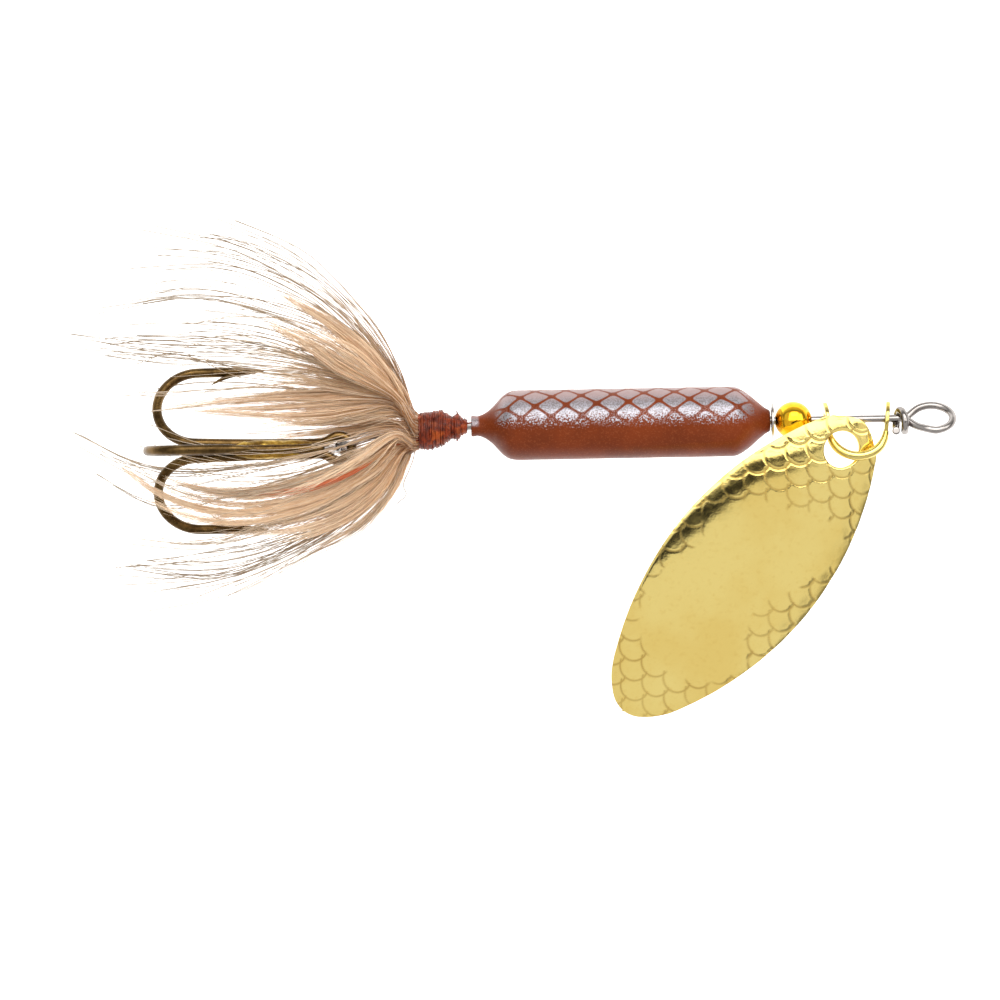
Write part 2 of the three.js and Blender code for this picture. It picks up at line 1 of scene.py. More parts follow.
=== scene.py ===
import math
import bpy
import numpy as np
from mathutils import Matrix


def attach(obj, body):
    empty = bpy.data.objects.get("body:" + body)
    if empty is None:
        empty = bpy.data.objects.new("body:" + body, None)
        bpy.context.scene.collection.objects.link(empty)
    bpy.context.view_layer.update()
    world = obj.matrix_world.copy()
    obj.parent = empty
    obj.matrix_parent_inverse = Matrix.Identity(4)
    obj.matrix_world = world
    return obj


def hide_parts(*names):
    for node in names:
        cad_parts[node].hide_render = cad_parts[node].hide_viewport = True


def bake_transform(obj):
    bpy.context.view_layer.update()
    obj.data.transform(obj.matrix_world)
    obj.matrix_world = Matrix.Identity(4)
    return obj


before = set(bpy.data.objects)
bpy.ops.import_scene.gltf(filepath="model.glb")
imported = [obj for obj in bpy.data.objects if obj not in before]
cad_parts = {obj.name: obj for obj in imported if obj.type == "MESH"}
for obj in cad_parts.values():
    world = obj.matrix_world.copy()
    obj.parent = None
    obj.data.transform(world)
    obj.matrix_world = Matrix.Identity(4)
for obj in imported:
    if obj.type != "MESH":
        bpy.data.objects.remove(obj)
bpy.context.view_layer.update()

# Inline spinner. All lengths below are millimetres in the row frame, and turn into metres when a mesh is made.
MM = 0.001
TABLE_Z = -2.47
rad = math.radians


# ---------------------------------------------------------------- vectors and curves
def vec(*a):
    return np.array(a, float)


def unit(v):
    v = np.asarray(v, float)
    return v / np.maximum(np.linalg.norm(v, axis=-1, keepdims=True), 1e-12)


def lerp(a, b, t):
    return a + (b - a) * t


def catmull(points, t):
    """Centripetal Catmull-Rom through points, at parameters t from 0 to len(points) - 1."""
    P = np.asarray(points, float)
    n = len(P)
    P = np.vstack([2 * P[0] - P[1], P, 2 * P[-1] - P[-2]])
    t = np.clip(np.asarray(t, float), 0, n - 1)
    i = np.minimum(t.astype(int), n - 2)
    w = (t - i)[:, None]
    p0, p1, p2, p3 = P[i], P[i + 1], P[i + 2], P[i + 3]

    def gap(a, b):
        return np.maximum(((a - b) ** 2).sum(1), 1e-12)[:, None] ** 0.25

    d0, d1, d2 = gap(p0, p1), gap(p1, p2), gap(p2, p3)
    t1 = ((p1 - p0) / d0 - (p2 - p0) / (d0 + d1) + (p2 - p1) / d1) * d1
    t2 = ((p2 - p1) / d1 - (p3 - p1) / (d1 + d2) + (p3 - p2) / d2) * d1
    c2 = -3 * p1 + 3 * p2 - 2 * t1 - t2
    c3 = 2 * p1 - 2 * p2 + t1 + t2
    return p1 + t1 * w + c2 * w * w + c3 * w**3


def smooth(points, count):
    return catmull(points, np.linspace(0, len(points) - 1, count + 1))


def refine(points, k):
    n = len(points)
    return catmull(points, np.linspace(0, n - 1, (n - 1) * k + 1))


def even(points, step):
    """The same line with its points a fixed step apart."""
    P = np.asarray(points, float)
    d = np.concatenate([[0], np.cumsum(np.linalg.norm(np.diff(P, axis=0), axis=1))])
    n = max(2, int(round(d[-1] / step)) + 1)
    q = np.linspace(0, d[-1], n)
    return np.stack([np.interp(q, d, P[:, k]) for k in range(P.shape[1])], 1)


def tangents(P):
    s = unit(np.diff(P, axis=0))
    T = np.empty_like(P)
    T[0], T[-1] = s[0], s[-1]
    T[1:-1] = unit(s[1:] + s[:-1])
    return T


def frames(P, first=None, plane=None):
    T = tangents(P)
    if plane is not None:
        N = unit(np.cross(plane, T))
    else:
        N = np.empty_like(P)
        if first is None:
            first = vec(0, 0, 1) if abs(T[0][2]) < 0.9 else vec(0, 1, 0)
        n = unit(first - T[0] * (first @ T[0]))
        for i in range(len(P)):
            n = unit(n - T[i] * (n @ T[i]))
            N[i] = n
    return T, N, np.cross(T, N)


# ---------------------------------------------------------------- meshes
class Shape:
    """Collects closed shells, then becomes one Blender mesh."""

    def __init__(self):
        self.v, self.f, self.count, self.attrs = [], [], 0, {}

    def add(self, verts, faces, **attrs):
        verts = np.asarray(verts, float)
        for f in faces:
            f = np.asarray(f, int)
            if len(f):
                self.f.append(f + self.count)
        for name in sorted(set(self.attrs) | set(attrs)):
            if name not in self.attrs:
                self.attrs[name] = [np.zeros(c) for c in [len(a) for a in self.v]]
            value = attrs.get(name, 0.0)
            self.attrs[name].append(np.broadcast_to(np.asarray(value, float), (len(verts),)).copy())
        self.v.append(verts)
        self.count += len(verts)
        return self

    def build(self, name, material, body, nodes=(), slot=None, sharp=None):
        me = bpy.data.meshes.new(name)
        V = np.concatenate(self.v)
        me.vertices.add(len(V))
        me.vertices.foreach_set("co", (V * MM).astype(np.float32).ravel())
        loops = np.concatenate([f.ravel() for f in self.f])
        sizes = np.concatenate([np.full(len(f), f.shape[1]) for f in self.f])
        me.loops.add(len(loops))
        me.loops.foreach_set("vertex_index", loops.astype(np.int32))
        me.polygons.add(len(sizes))
        me.polygons.foreach_set("loop_start", np.concatenate([[0], np.cumsum(sizes)[:-1]]).astype(np.int32))
        me.update(calc_edges=True)
        me.validate()
        me.polygons.foreach_set("use_smooth", np.ones(len(me.polygons), bool))
        for key, value in self.attrs.items():
            me.attributes.new(key, "FLOAT", "POINT").data.foreach_set("value", np.concatenate(value).astype(np.float32))
        if sharp is not None:
            me.set_sharp_from_angle(angle=rad(sharp))
        me.materials.append(material)
        ob = bpy.data.objects.new(name, me)
        bpy.context.scene.collection.objects.link(ob)
        if body:
            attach(ob, body)
        if nodes:
            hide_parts(*nodes)
        return ob


def rings(centres, N, B, ra, rb, sides, start=None, end=None, phase=0.0):
    """A closed shell through a row of elliptic rings, ended by a point or a flat cap."""
    n = len(centres)
    a = np.arange(sides) * 2 * np.pi / sides + phase
    ra, rb = np.broadcast_to(ra, (n,)), np.broadcast_to(rb, (n,))
    V = (
        centres[:, None, :]
        + N[:, None, :] * (ra[:, None] * np.cos(a))[:, :, None]
        + B[:, None, :] * (rb[:, None] * np.sin(a))[:, :, None]
    ).reshape(-1, 3)
    i = np.arange(n - 1)[:, None] * sides
    k = np.arange(sides)[None, :]
    k2 = (k + 1) % sides
    quads = np.stack([i + k, i + k2, i + sides + k2, i + sides + k], -1).reshape(-1, 4)
    p0 = centres[0] if start is None else start
    p1 = centres[-1] if end is None else end
    V = np.vstack([V, p0, p1])
    k = np.arange(sides)
    k2 = (k + 1) % sides
    c0, c1 = n * sides, n * sides + 1
    last = (n - 1) * sides
    tris = np.vstack([np.stack([k2, k, np.full(sides, c0)], 1), np.stack([last + k, last + k2, np.full(sides, c1)], 1)])
    return V, [quads, tris]


def tube(P, r, rb=None, sides=20, first=None, plane=None, ends=("round", "round"), bevel=0.04):
    """A swept wire with its ends rounded over or cut flat with a broken edge."""
    P = np.asarray(P, float)
    n = len(P)
    r = np.broadcast_to(np.asarray(r, float), (n,)).copy()
    rb = r.copy() if rb is None else np.broadcast_to(np.asarray(rb, float), (n,)).copy()
    T, N, B = frames(P, first, plane)

    def cap(at, sign):
        p, t, nn, bb, a, b = P[at], T[at] * sign, N[at], B[at], r[at], rb[at]
        if ends[0 if sign < 0 else 1] == "round":
            steps = [(math.sin(rad(x)) * min(a, b), math.cos(rad(x))) for x in (22, 44, 64, 80)]
            pole = p + t * min(a, b)
        else:
            m = min(a, b)
            steps = [(bevel * 0.6, 1 - bevel * 0.3 / m), (bevel, 1 - bevel / m), (bevel, 0.5)]
            pole = p + t * bevel
        return [(p + t * d, nn, bb, a * s, b * s) for d, s in steps], pole

    s, p0 = cap(0, -1)
    e, p1 = cap(n - 1, 1)
    rows = s[::-1] + [(P[i], N[i], B[i], r[i], rb[i]) for i in range(n)] + e
    C, NN, BB = (np.array([x[k] for x in rows]) for k in range(3))
    ra, rbb = (np.array([x[k] for x in rows]) for k in (3, 4))
    return rings(C, NN, BB, ra, rbb, sides, p0, p1)


def lathe_x(profile, segments, closed=True):
    """Turned about the X axis: a profile of [x, r] pairs that closes on itself."""
    P = np.asarray(profile, float)
    n = len(P)
    a = np.arange(segments) * 2 * np.pi / segments
    V = np.stack(
        [
            np.repeat(P[:, 0][:, None], segments, 1),
            P[:, 1][:, None] * np.cos(a),
            P[:, 1][:, None] * np.sin(a),
        ],
        -1,
    ).reshape(-1, 3)
    i = np.arange(n)[:, None]
    j = (i + 1) % n
    k = np.arange(segments)[None, :]
    k2 = (k + 1) % segments
    quads = np.stack([i * segments + k, i * segments + k2, j * segments + k2, j * segments + k], -1).reshape(-1, 4)
    V2 = P.copy()
    area = 0.5 * np.sum(V2[:, 0] * np.roll(V2[:, 1], -1) - np.roll(V2[:, 0], -1) * V2[:, 1])
    if area < 0:
        quads = quads[:, ::-1]
    return V, [quads]


def value_noise(p, seed, scale):
    """Smooth random field in 3D, -1 to 1, the same each run."""
    q = np.asarray(p, float) * scale + 100.0
    i = np.floor(q).astype(np.int64)
    f = q - i
    f = f * f * (3 - 2 * f)
    out = np.zeros(len(q))
    for dx in (0, 1):
        for dy in (0, 1):
            for dz in (0, 1):
                h = (i[:, 0] + dx) * 374761393 + (i[:, 1] + dy) * 668265263 + (i[:, 2] + dz) * 2147483647 + seed * 974711
                h = (h ^ (h >> 13)) * 1274126177
                h = (h ^ (h >> 16)) & 0xFFFFFF
                w = (f[:, 0] if dx else 1 - f[:, 0]) * (f[:, 1] if dy else 1 - f[:, 1]) * (f[:, 2] if dz else 1 - f[:, 2])
                out += w * (h / 0x7FFFFF - 1)
    return out


# ---------------------------------------------------------------- materials
def srgb(code):
    c = [int(code[i : i + 2], 16) / 255 for i in (0, 2, 4)]
    return tuple(x / 12.92 if x <= 0.04045 else ((x + 0.055) / 1.055) ** 2.4 for x in c) + (1.0,)


class Mat:
    """A small writer of shader nodes."""

    def __init__(self, name):
        self.mat = bpy.data.materials.new(name)
        self.mat.use_nodes = True
        self.nt = self.mat.node_tree
        self.nt.nodes.clear()
        self.out = self.nt.nodes.new("ShaderNodeOutputMaterial")
        self.bsdf = self.nt.nodes.new("ShaderNodeBsdfPrincipled")
        self.nt.links.new(self.bsdf.outputs[0], self.out.inputs["Surface"])
        self.tc = self.nt.nodes.new("ShaderNodeTexCoord")
        self.object = self.tc.outputs["Object"]

    def put(self, socket, value):
        if isinstance(value, bpy.types.NodeSocket):
            self.nt.links.new(value, socket)
        else:
            socket.default_value = value

    def set(self, **values):
        for key, value in values.items():
            self.put(self.bsdf.inputs[key.replace("_", " ")], value)

    def math(self, op, *args, clamp=False):
        n = self.nt.nodes.new("ShaderNodeMath")
        n.operation, n.use_clamp = op, clamp
        for i, a in enumerate(args):
            self.put(n.inputs[i], a)
        return n.outputs[0]

    def add(self, a, b):
        return self.math("ADD", a, b)

    def sub(self, a, b):
        return self.math("SUBTRACT", a, b)

    def mul(self, a, b):
        return self.math("MULTIPLY", a, b)

    def ramp(self, x, lo, hi, a=0.0, b=1.0):
        n = self.nt.nodes.new("ShaderNodeMapRange")
        n.interpolation_type, n.clamp = "SMOOTHSTEP", True
        for i, v in enumerate((x, lo, hi, a, b)):
            self.put(n.inputs[i], v)
        return n.outputs[0]

    def noise(self, scale, detail=3.0, rough=0.55, stretch=None, at=None, distortion=0.0):
        n = self.nt.nodes.new("ShaderNodeTexNoise")
        at = self.object if at is None else at
        if stretch:
            m = self.nt.nodes.new("ShaderNodeMapping")
            m.inputs["Scale"].default_value = stretch
            self.put(m.inputs["Vector"], at)
            at = m.outputs[0]
        self.put(n.inputs["Vector"], at)
        n.inputs["Scale"].default_value = scale
        n.inputs["Detail"].default_value = detail
        n.inputs["Roughness"].default_value = rough
        n.inputs["Distortion"].default_value = distortion
        return n.outputs[0]

    def mix(self, f, a, b):
        n = self.nt.nodes.new("ShaderNodeMix")
        n.data_type = "RGBA"
        self.put(n.inputs[0], f)
        self.put(n.inputs[6], a)
        self.put(n.inputs[7], b)
        return n.outputs[2]

    def attr(self, name):
        n = self.nt.nodes.new("ShaderNodeAttribute")
        n.attribute_name = name
        return n.outputs["Fac"]

    def bump(self, height, distance, strength=1.0, under=None):
        n = self.nt.nodes.new("ShaderNodeBump")
        n.inputs["Strength"].default_value = strength
        n.inputs["Distance"].default_value = distance
        self.put(n.inputs["Height"], height)
        if under is not None:
            self.put(n.inputs["Normal"], under)
        return n.outputs[0]

    def xyz(self):
        n = self.nt.nodes.new("ShaderNodeSeparateXYZ")
        self.put(n.inputs[0], self.object)
        return [self.mul(o, 1000.0) for o in n.outputs]


def metal(name, light, dark, rough=(0.1, 0.25), grain=None, peel=0.0, mottle=(300, 900)):
    """Polished or drawn metal: slow colour drift, fine streaks, wiped-on roughness and a shallow grain."""
    m = Mat(name)
    slow = m.noise(mottle[0], 4, 0.6)
    fine = m.noise(mottle[1], 5, 0.65)
    f = m.ramp(m.add(m.mul(slow, 0.65), m.mul(fine, 0.35)), 0.36, 0.66)
    m.set(Base_Color=m.mix(f, light, dark), Metallic=1.0)
    wipe = m.noise(mottle[1] * 1.7, 4, 0.6, stretch=grain)
    m.set(Roughness=m.ramp(m.add(m.mul(wipe, 0.7), m.mul(slow, 0.3)), 0.35, 0.68, rough[0], rough[1]))
    b = m.bump(m.noise(9000, 3, 0.6, stretch=grain), 0.000004, 0.5)
    if peel:
        b = m.bump(m.noise(1800, 2, 0.5), peel, 0.6, b)
    m.set(Normal=b)
    return m


wire_mat = metal("wire_steel", srgb("A8A29E"), srgb("7F7975"), (0.12, 0.26), grain=(0.04, 1, 1))
washer_mat = metal("washer_steel", srgb("DAD6D0"), srgb("A9A4A0"), (0.12, 0.26))
bead_mat = metal("bead_gold", srgb("F6C934"), srgb("DE9C1C"), (0.05, 0.14), peel=0.000002, mottle=(500, 1500))
clevis_mat = metal("clevis_gold", srgb("DCC87A"), srgb("C2A54A"), (0.08, 0.2), peel=0.000003, mottle=(500, 1500))
hook_mat = metal("hook_bronze", srgb("6E5632"), srgb("3A2A16"), (0.24, 0.42), mottle=(500, 1900))
braze_mat = metal("braze_brass", srgb("C9A850"), srgb("6A5024"), (0.25, 0.5), peel=0.00002, mottle=(700, 2200))

# blade: gold plate over a stamped face, with painted shade down in the strokes
blade_mat = Mat("blade_gold")
g = blade_mat
groove = g.attr("groove")
drift = g.noise(160, 3, 0.55)
fleck = g.noise(2600, 4, 0.65)
gold = g.mix(g.ramp(drift, 0.35, 0.65), srgb("F8E08A"), srgb("F3D67C"))
gold = g.mix(g.mul(g.ramp(fleck, 0.5, 0.72), 0.25), gold, srgb("E6BE5E"))
# painted shade: the gold is darkened where the stamped strokes run
gold = g.mix(g.mul(groove, 0.7), gold, srgb("A67C2C"))
g.set(Base_Color=gold, Metallic=1.0)
g.set(Roughness=g.add(g.ramp(g.noise(700, 4, 0.6), 0.3, 0.7, 0.07, 0.14), g.mul(groove, 0.16)))
pits = g.bump(g.noise(3200, 3, 0.6), 0.000006, 0.6)
g.set(Normal=g.bump(g.noise(900, 2, 0.5), 0.00001, 0.5, pits))

# body: brown enamel, silver sprayed through a net, clear gloss over both
body_mat = Mat("body_paint")
b = body_mat
x, y, z = b.xyz()
alpha = b.mul(b.math("ARCTAN2", y, z), 57.29578)  # 0 on top, +90 on the +Y side
PITCH, WIDE, ROW, AT = 20.0, 2.16, 12.7, -26.92
wob = b.mul(b.sub(b.noise(420, 2, 0.5), 0.5), 0.16)
p = b.mul(b.sub(x, AT), 1 / WIDE)
turn = b.mul(b.sub(x, AT), 0.97)  # the net winds slowly round the barrel
q = b.mul(b.sub(b.sub(alpha, ROW), turn), 0.5 / PITCH)


def centre_gap(u):
    return b.math("ABSOLUTE", b.sub(b.math("FRACT", b.add(u, 0.5)), 0.5))


eu = centre_gap(b.add(b.add(p, q), wob))
ev = centre_gap(b.add(b.sub(p, q), wob))
cell = b.math("POWER", b.add(b.math("POWER", eu, 5.0), b.math("POWER", ev, 5.0)), 0.2)
speck = b.noise(9500, 0, 0.5)
coarse = b.noise(2600, 3, 0.6)
edge = b.add(cell, b.mul(b.sub(speck, 0.5), 0.06))
inside = b.ramp(edge, 0.452, 0.405)
side_lo = b.ramp(b.add(alpha, b.mul(b.sub(speck, 0.5), 40.0)), 0.0, 14.0)
side_hi = b.ramp(b.add(alpha, b.mul(b.sub(speck, 0.5), 30.0)), 168.0, 146.0)
spray = b.mul(side_lo, side_hi)
tail = b.ramp(b.add(x, b.mul(b.sub(coarse, 0.5), 0.5)), -32.1, -31.3)
neck = b.mul(b.ramp(x, -33.0, -33.25), b.ramp(alpha, -12.0, 12.0))
nose = b.ramp(b.add(x, b.mul(b.sub(speck, 0.5), 1.6)), -13.6, -14.7)
mask = b.mul(b.mul(inside, spray), b.mul(tail, nose))
over = b.mul(b.mul(b.ramp(alpha, 38.0, 8.0), b.ramp(b.add(alpha, b.mul(b.sub(coarse, 0.5), 12.0)), -9.0, 4.0)), b.ramp(speck, 0.5, 0.6))
mask = b.math("MAXIMUM", mask, b.mul(b.mul(over, 0.28), b.mul(tail, nose)))
mask = b.math("MAXIMUM", mask, b.mul(neck, 0.8))
grainy = b.ramp(speck, 0.3, 0.7)
brown = b.mix(b.ramp(b.noise(300, 4, 0.6), 0.35, 0.65), srgb("74300F"), srgb("66290C"))
brown = b.mix(b.mul(b.ramp(speck, 0.55, 0.72), 0.35), brown, srgb("8E4A2A"))
silver = b.mix(grainy, srgb("7E7778"), srgb("9F9DA4"))
# painted reflection: the silver turns a mauve grey towards the +Y side
silver = b.mix(b.ramp(alpha, 26.0, 62.0), silver, srgb("9A8482"))
b.set(Base_Color=b.mix(mask, brown, silver))
b.set(Metallic=b.mul(mask, 0.72), Roughness=b.add(b.mul(mask, 0.06), b.ramp(coarse, 0.3, 0.7, 0.3, 0.4)))
b.set(Coat_Weight=0.07, Coat_Roughness=0.1, Specular_IOR_Level=0.12)
relief = b.bump(b.add(b.mul(mask, 0.5), b.mul(speck, 0.35)), 0.000012, 0.6)
b.set(Normal=b.bump(b.noise(500, 2, 0.5), 0.00001, 0.4, relief))

# thread: red-brown, fibre streaks along each winding, a little varnish, painted glints, and painted shade on the core
# where it shows between windings
thread_mat = Mat("thread_binding")
t = thread_mat
twist = t.attr("twist")
tn = t.noise(3500, 4, 0.65)
col = t.mix(t.ramp(tn, 0.35, 0.66), srgb("471507"), srgb("8C3411"))
# painted highlight: lighter orange patches stand in for glints on the thread
col = t.mix(t.mul(t.ramp(t.noise(1300, 3, 0.6), 0.52, 0.66), 0.65), col, srgb("B4551F"))
col = t.mix(t.mul(t.ramp(t.noise(520, 2, 0.6), 0.56, 0.42), 0.5), col, srgb("4A1709"))
# painted shade: the core under the windings is darkened where it shows between them
col = t.mix(t.mul(t.attr("deep"), 0.75), col, srgb("3A1209"))
t.set(Base_Color=col, Roughness=t.ramp(tn, 0.3, 0.7, 0.28, 0.55))
t.set(Coat_Weight=0.1, Coat_Roughness=0.2, Specular_IOR_Level=0.25)
strand = t.math("SINE", twist)
t.set(Normal=t.bump(t.add(t.mul(strand, 0.5), t.mul(tn, 0.6)), 0.000015, 0.8))

# feather barbs: warm brown at the root, tan along, pale at the tip, streaked barb by barb
hackle_mat = Mat("hackle_barb")
h = hackle_mat
along, tint, stem, pale = h.attr("along"), h.attr("tint"), h.attr("stem"), h.attr("pale")
mott = h.noise(900, 3, 0.6)
col = h.mix(h.ramp(along, 0.2, 0.7), srgb("945A2A"), srgb("E4B888"))
col = h.mix(h.ramp(along, 0.45, 1.0), col, srgb("F6DDBD"))
col = h.mix(h.ramp(tint, 0.55, 1.0, 0.0, 0.55), col, srgb("F3E0C8"))
col = h.mix(h.ramp(tint, 0.38, 0.0, 0.0, 0.8), col, srgb("AE7644"))
col = h.mix(h.mul(h.ramp(mott, 0.5, 0.72), 0.3), col, srgb("CD9A6C"))
col = h.mix(pale, col, srgb("7E684E"))
col = h.mix(stem, col, srgb("C4541C"))
h.set(Base_Color=col, Roughness=h.ramp(mott, 0.3, 0.7, 0.42, 0.62))
h.set(Sheen_Weight=0.25, Sheen_Roughness=0.4, Specular_IOR_Level=0.35)
h.set(Normal=h.bump(h.noise(14000, 2, 0.6, stretch=(0.1, 1, 1)), 0.000006, 0.5))

# ---------------------------------------------------------------- camera, floor, light
EPS = rad(1.037)
FAR = 0.3
cam_data = bpy.data.cameras.new("camera")
cam_data.sensor_width = 36.0
cam_data.lens = 36.0 * FAR / 0.07042
cam_data.clip_start, cam_data.clip_end = 0.01, 10
camera = bpy.data.objects.new("camera", cam_data)
camera.location = (-0.03170, -0.00524, FAR)
camera.rotation_euler = (0, 0, -EPS)
bpy.context.scene.collection.objects.link(camera)
bpy.context.scene.camera = camera

floor_mat = Mat("pale_floor")
fl = floor_mat.noise(30, 3, 0.5)
floor_mat.set(Base_Color=floor_mat.mix(fl, (0.86, 0.86, 0.855, 1), (0.84, 0.84, 0.84, 1)), Roughness=0.9, Specular_IOR_Level=0.1)
floor_mat.set(Emission_Color=(1, 1, 1, 1), Emission_Strength=0.6)
floor_mesh = bpy.data.meshes.new("floor")
W = 3.0
floor_mesh.from_pydata([(-W, -W, 0), (W, -W, 0), (W, W, 0), (-W, W, 0)], [], [(0, 1, 2, 3)])
floor_mesh.materials.append(floor_mat.mat)
floor = bpy.data.objects.new("floor", floor_mesh)
floor.location = (0, 0, -0.034)  # low enough for the blade to turn round the shaft
bpy.context.scene.collection.objects.link(floor)

# A white tent with one stronger soft panel on the +Y side, and the dark gap in which the camera hangs.
world = bpy.data.worlds.new("studio")
bpy.context.scene.world = world
world.use_nodes = True
wt = world.node_tree
wt.nodes.clear()


def wmath(op, *args):
    n = wt.nodes.new("ShaderNodeMath")
    n.operation = op
    for i, a in enumerate(args):
        if isinstance(a, bpy.types.NodeSocket):
            wt.links.new(a, n.inputs[i])
        else:
            n.inputs[i].default_value = a
    return n.outputs[0]


def wramp(x, lo, hi, a=0.0, b=1.0):
    n = wt.nodes.new("ShaderNodeMapRange")
    n.interpolation_type, n.clamp = "SMOOTHSTEP", True
    for i, v in enumerate((x, lo, hi, a, b)):
        if isinstance(v, bpy.types.NodeSocket):
            wt.links.new(v, n.inputs[i])
        else:
            n.inputs[i].default_value = v
    return n.outputs[0]


wtc = wt.nodes.new("ShaderNodeTexCoord")
wsep = wt.nodes.new("ShaderNodeSeparateXYZ")
wt.links.new(wtc.outputs["Generated"], wsep.inputs[0])
wx, wy, wz = wsep.outputs
ty = wmath("MULTIPLY", wmath("ARCTAN2", wy, wz), 57.29578)
tx = wmath("MULTIPLY", wmath("ARCTAN2", wx, wz), 57.29578)
ay, ax = wmath("ABSOLUTE", ty), wmath("ABSOLUTE", tx)
tent = wmath("MULTIPLY", wmath("MULTIPLY", wramp(ty, 61.0, 55.0), wramp(ty, -86.0, -76.0)), wramp(ax, 66.0, 58.0))
arc = wmath("MULTIPLY", wramp(ty, 64.0, 72.0), wramp(ax, 80.0, 60.0))
level = wmath("ADD", wmath("ADD", 0.29, wmath("MULTIPLY", tent, 0.54)), wmath("MULTIPLY", arc, 0.4))
box_y = wmath("MULTIPLY", wramp(ty, -3.7, -0.7), wramp(ty, 50.0, 44.0))
box_x = wmath("MULTIPLY", wramp(tx, -36.0, -28.0), wramp(tx, 60.0, 53.0))
level = wmath("ADD", level, wmath("MULTIPLY", wmath("MULTIPLY", box_y, box_x), 1.9))
lean = wmath("ABSOLUTE", wmath("SUBTRACT", wmath("ADD", ty, 13.2), wmath("MULTIPLY", wmath("MINIMUM", tx, 17.5), 0.5)))
thin = wramp(tx, 14.0, 24.0, 1.0, 0.62)
dark = wmath("MULTIPLY", wramp(wmath("DIVIDE", lean, thin), 6.0, 3.8), wmath("MULTIPLY", wramp(tx, -22.0, -13.0), wramp(tx, 52.0, 46.0)))
level = wmath("MULTIPLY", level, wmath("SUBTRACT", 1.0, wmath("MULTIPLY", dark, 0.97)))
low = wramp(wz, 0.2, 0.13)
level = wmath("ADD", wmath("MULTIPLY", level, wmath("SUBTRACT", 1.0, low)), wmath("MULTIPLY", low, 0.9))
bg = wt.nodes.new("ShaderNodeBackground")
bg.inputs[0].default_value = (1.0, 0.995, 0.985, 1)
wt.links.new(level, bg.inputs[1])
wo = wt.nodes.new("ShaderNodeOutputWorld")
wt.links.new(bg.outputs[0], wo.inputs[0])

lamp_data = bpy.data.lights.new("fill", "AREA")
lamp_data.shape, lamp_data.size, lamp_data.size_y = "RECTANGLE", 0.5, 0.35
lamp_data.energy = 1.6
lamp = bpy.data.objects.new("fill", lamp_data)
lamp.location = (0.05, 0.45, 0.55)
lamp.rotation_euler = (rad(-40), 0, 0)
bpy.context.scene.collection.objects.link(lamp)

bpy.context.scene.view_settings.view_transform = "Standard"

# ---------------------------------------------------------------- shaft wire
WIRE_R = 0.275
c44, s44 = math.cos(rad(44)), math.sin(rad(44))
loopQ, loopN = vec(0, c44, -s44), vec(0, s44, c44)


def in_loop(x, q, off=0.0):
    return vec(x, 0, 0) + loopQ * q + loopN * off


COIL_R, COIL_Y = 0.74, -0.165
coil_x = [[180, -3.74], [270, -3.63], [360, -3.45], [400, -3.28], [450, -3.14], [540, -3.12], [600, -3.0], [650, -2.85]]


def coil_point(a):
    x = np.interp(a, [c[0] for c in coil_x], [c[1] for c in coil_x])
    return vec(x, COIL_Y + COIL_R * math.cos(rad(a)), COIL_R * math.sin(rad(a)))


tag_points = [vec(-3.75, COIL_Y - COIL_R + 0.03, 0.46), vec(-3.75, COIL_Y - COIL_R + 0.01, 0.24)]
coil_points = [coil_point(180 + 23.5 * i) for i in range(21) if 180 + 23.5 * i <= 650]
LHL, LHW = 1.475, 1.24
upper = list(
    smooth([coil_point(605), coil_point(650), in_loop(-2.5, 0.86, -0.3), in_loop(-2.0, 1.12, -0.1), in_loop(-1.32, LHW, 0), in_loop(-0.9, 1.21, 0)], 15)[4:13]
)
c8, c24 = math.cos(rad(8)), math.cos(rad(24))
half_turn = math.atan2(LHL * (c8 - c24), LHW * (math.sin(rad(24)) - math.sin(rad(8)))) / 2
facet_x = WIRE_R * math.cos(math.pi / 10) * math.cos(half_turn) - LHL * c8


def eye_point(d):
    return in_loop(facet_x + LHL * math.cos(rad(d)), LHW * math.sin(rad(d)))


eye_points = [eye_point(d) for d in (88, 72, 56, 40, 24, 8, -8, -24, -40, -56, -72)]
lower = list(
    smooth([eye_point(-72), in_loop(-1.0, -1.235), in_loop(-1.6, -1.07), vec(-2.25, -0.58, 0.42), vec(-2.68, -0.33, 0.2), vec(-3.0, -0.1, 0.05), vec(-3.35, 0, 0), vec(-3.9, 0, 0)], 16)[1:]
)
shaft_points = [vec(-5, 0, 0), vec(-8, 0, 0), vec(-11, 0, 0), vec(-14, 0, 0), vec(-17, 0, 0), vec(-19, 0, 0)]
rear_dir = vec(0, math.cos(rad(66)), math.sin(rad(66)))
rear_tip = vec(-43.0, -1.36, 0.86)


def rear_point(d):
    return rear_tip + vec(0.95 * (1 - math.cos(rad(d))), 0, 0) + rear_dir * 0.95 * math.sin(rad(d))


strand_a = list(
    smooth(
        [vec(-19, 0, 0), vec(-21.5, 0, 0.1), vec(-24, 0, 0.27), vec(-28, 0, 0.287), vec(-33.64, 0, 0.287), vec(-35.3, -0.1, 0.29), vec(-37.4, -0.33, 0.34), vec(-39.4, -0.48, 0.92), vec(-41.0, -0.62, 1.5), rear_point(90), rear_point(60)],
        40,
    )[1:-4]
)
rear_points = [rear_point(d) for d in (75, 56, 37, 18, 0, -18, -37, -56, -75)]
strand_b = list(
    smooth(
        [rear_point(-60), rear_point(-90), vec(-41.0, -1.5, -0.12), vec(-39.4, -0.95, -0.3), vec(-37.4, -0.37, -0.25), vec(-35.3, -0.12, -0.285), vec(-33.64, 0, -0.287), vec(-31, 0, -0.287), vec(-28.6, 0, -0.287)],
        32,
    )[4:]
)
wire_line = refine(tag_points + coil_points + upper + eye_points + lower + shaft_points + strand_a + rear_points + strand_b, 5)
wire_line = even(wire_line, 0.075)
shape = Shape()
shape.add(*tube(wire_line, WIRE_R * 0.985, sides=22, ends=("flat", "round"), bevel=0.05))
shape.build("wire_shaft", wire_mat.mat, "root", ["shaft_wire"], "wire", sharp=50)

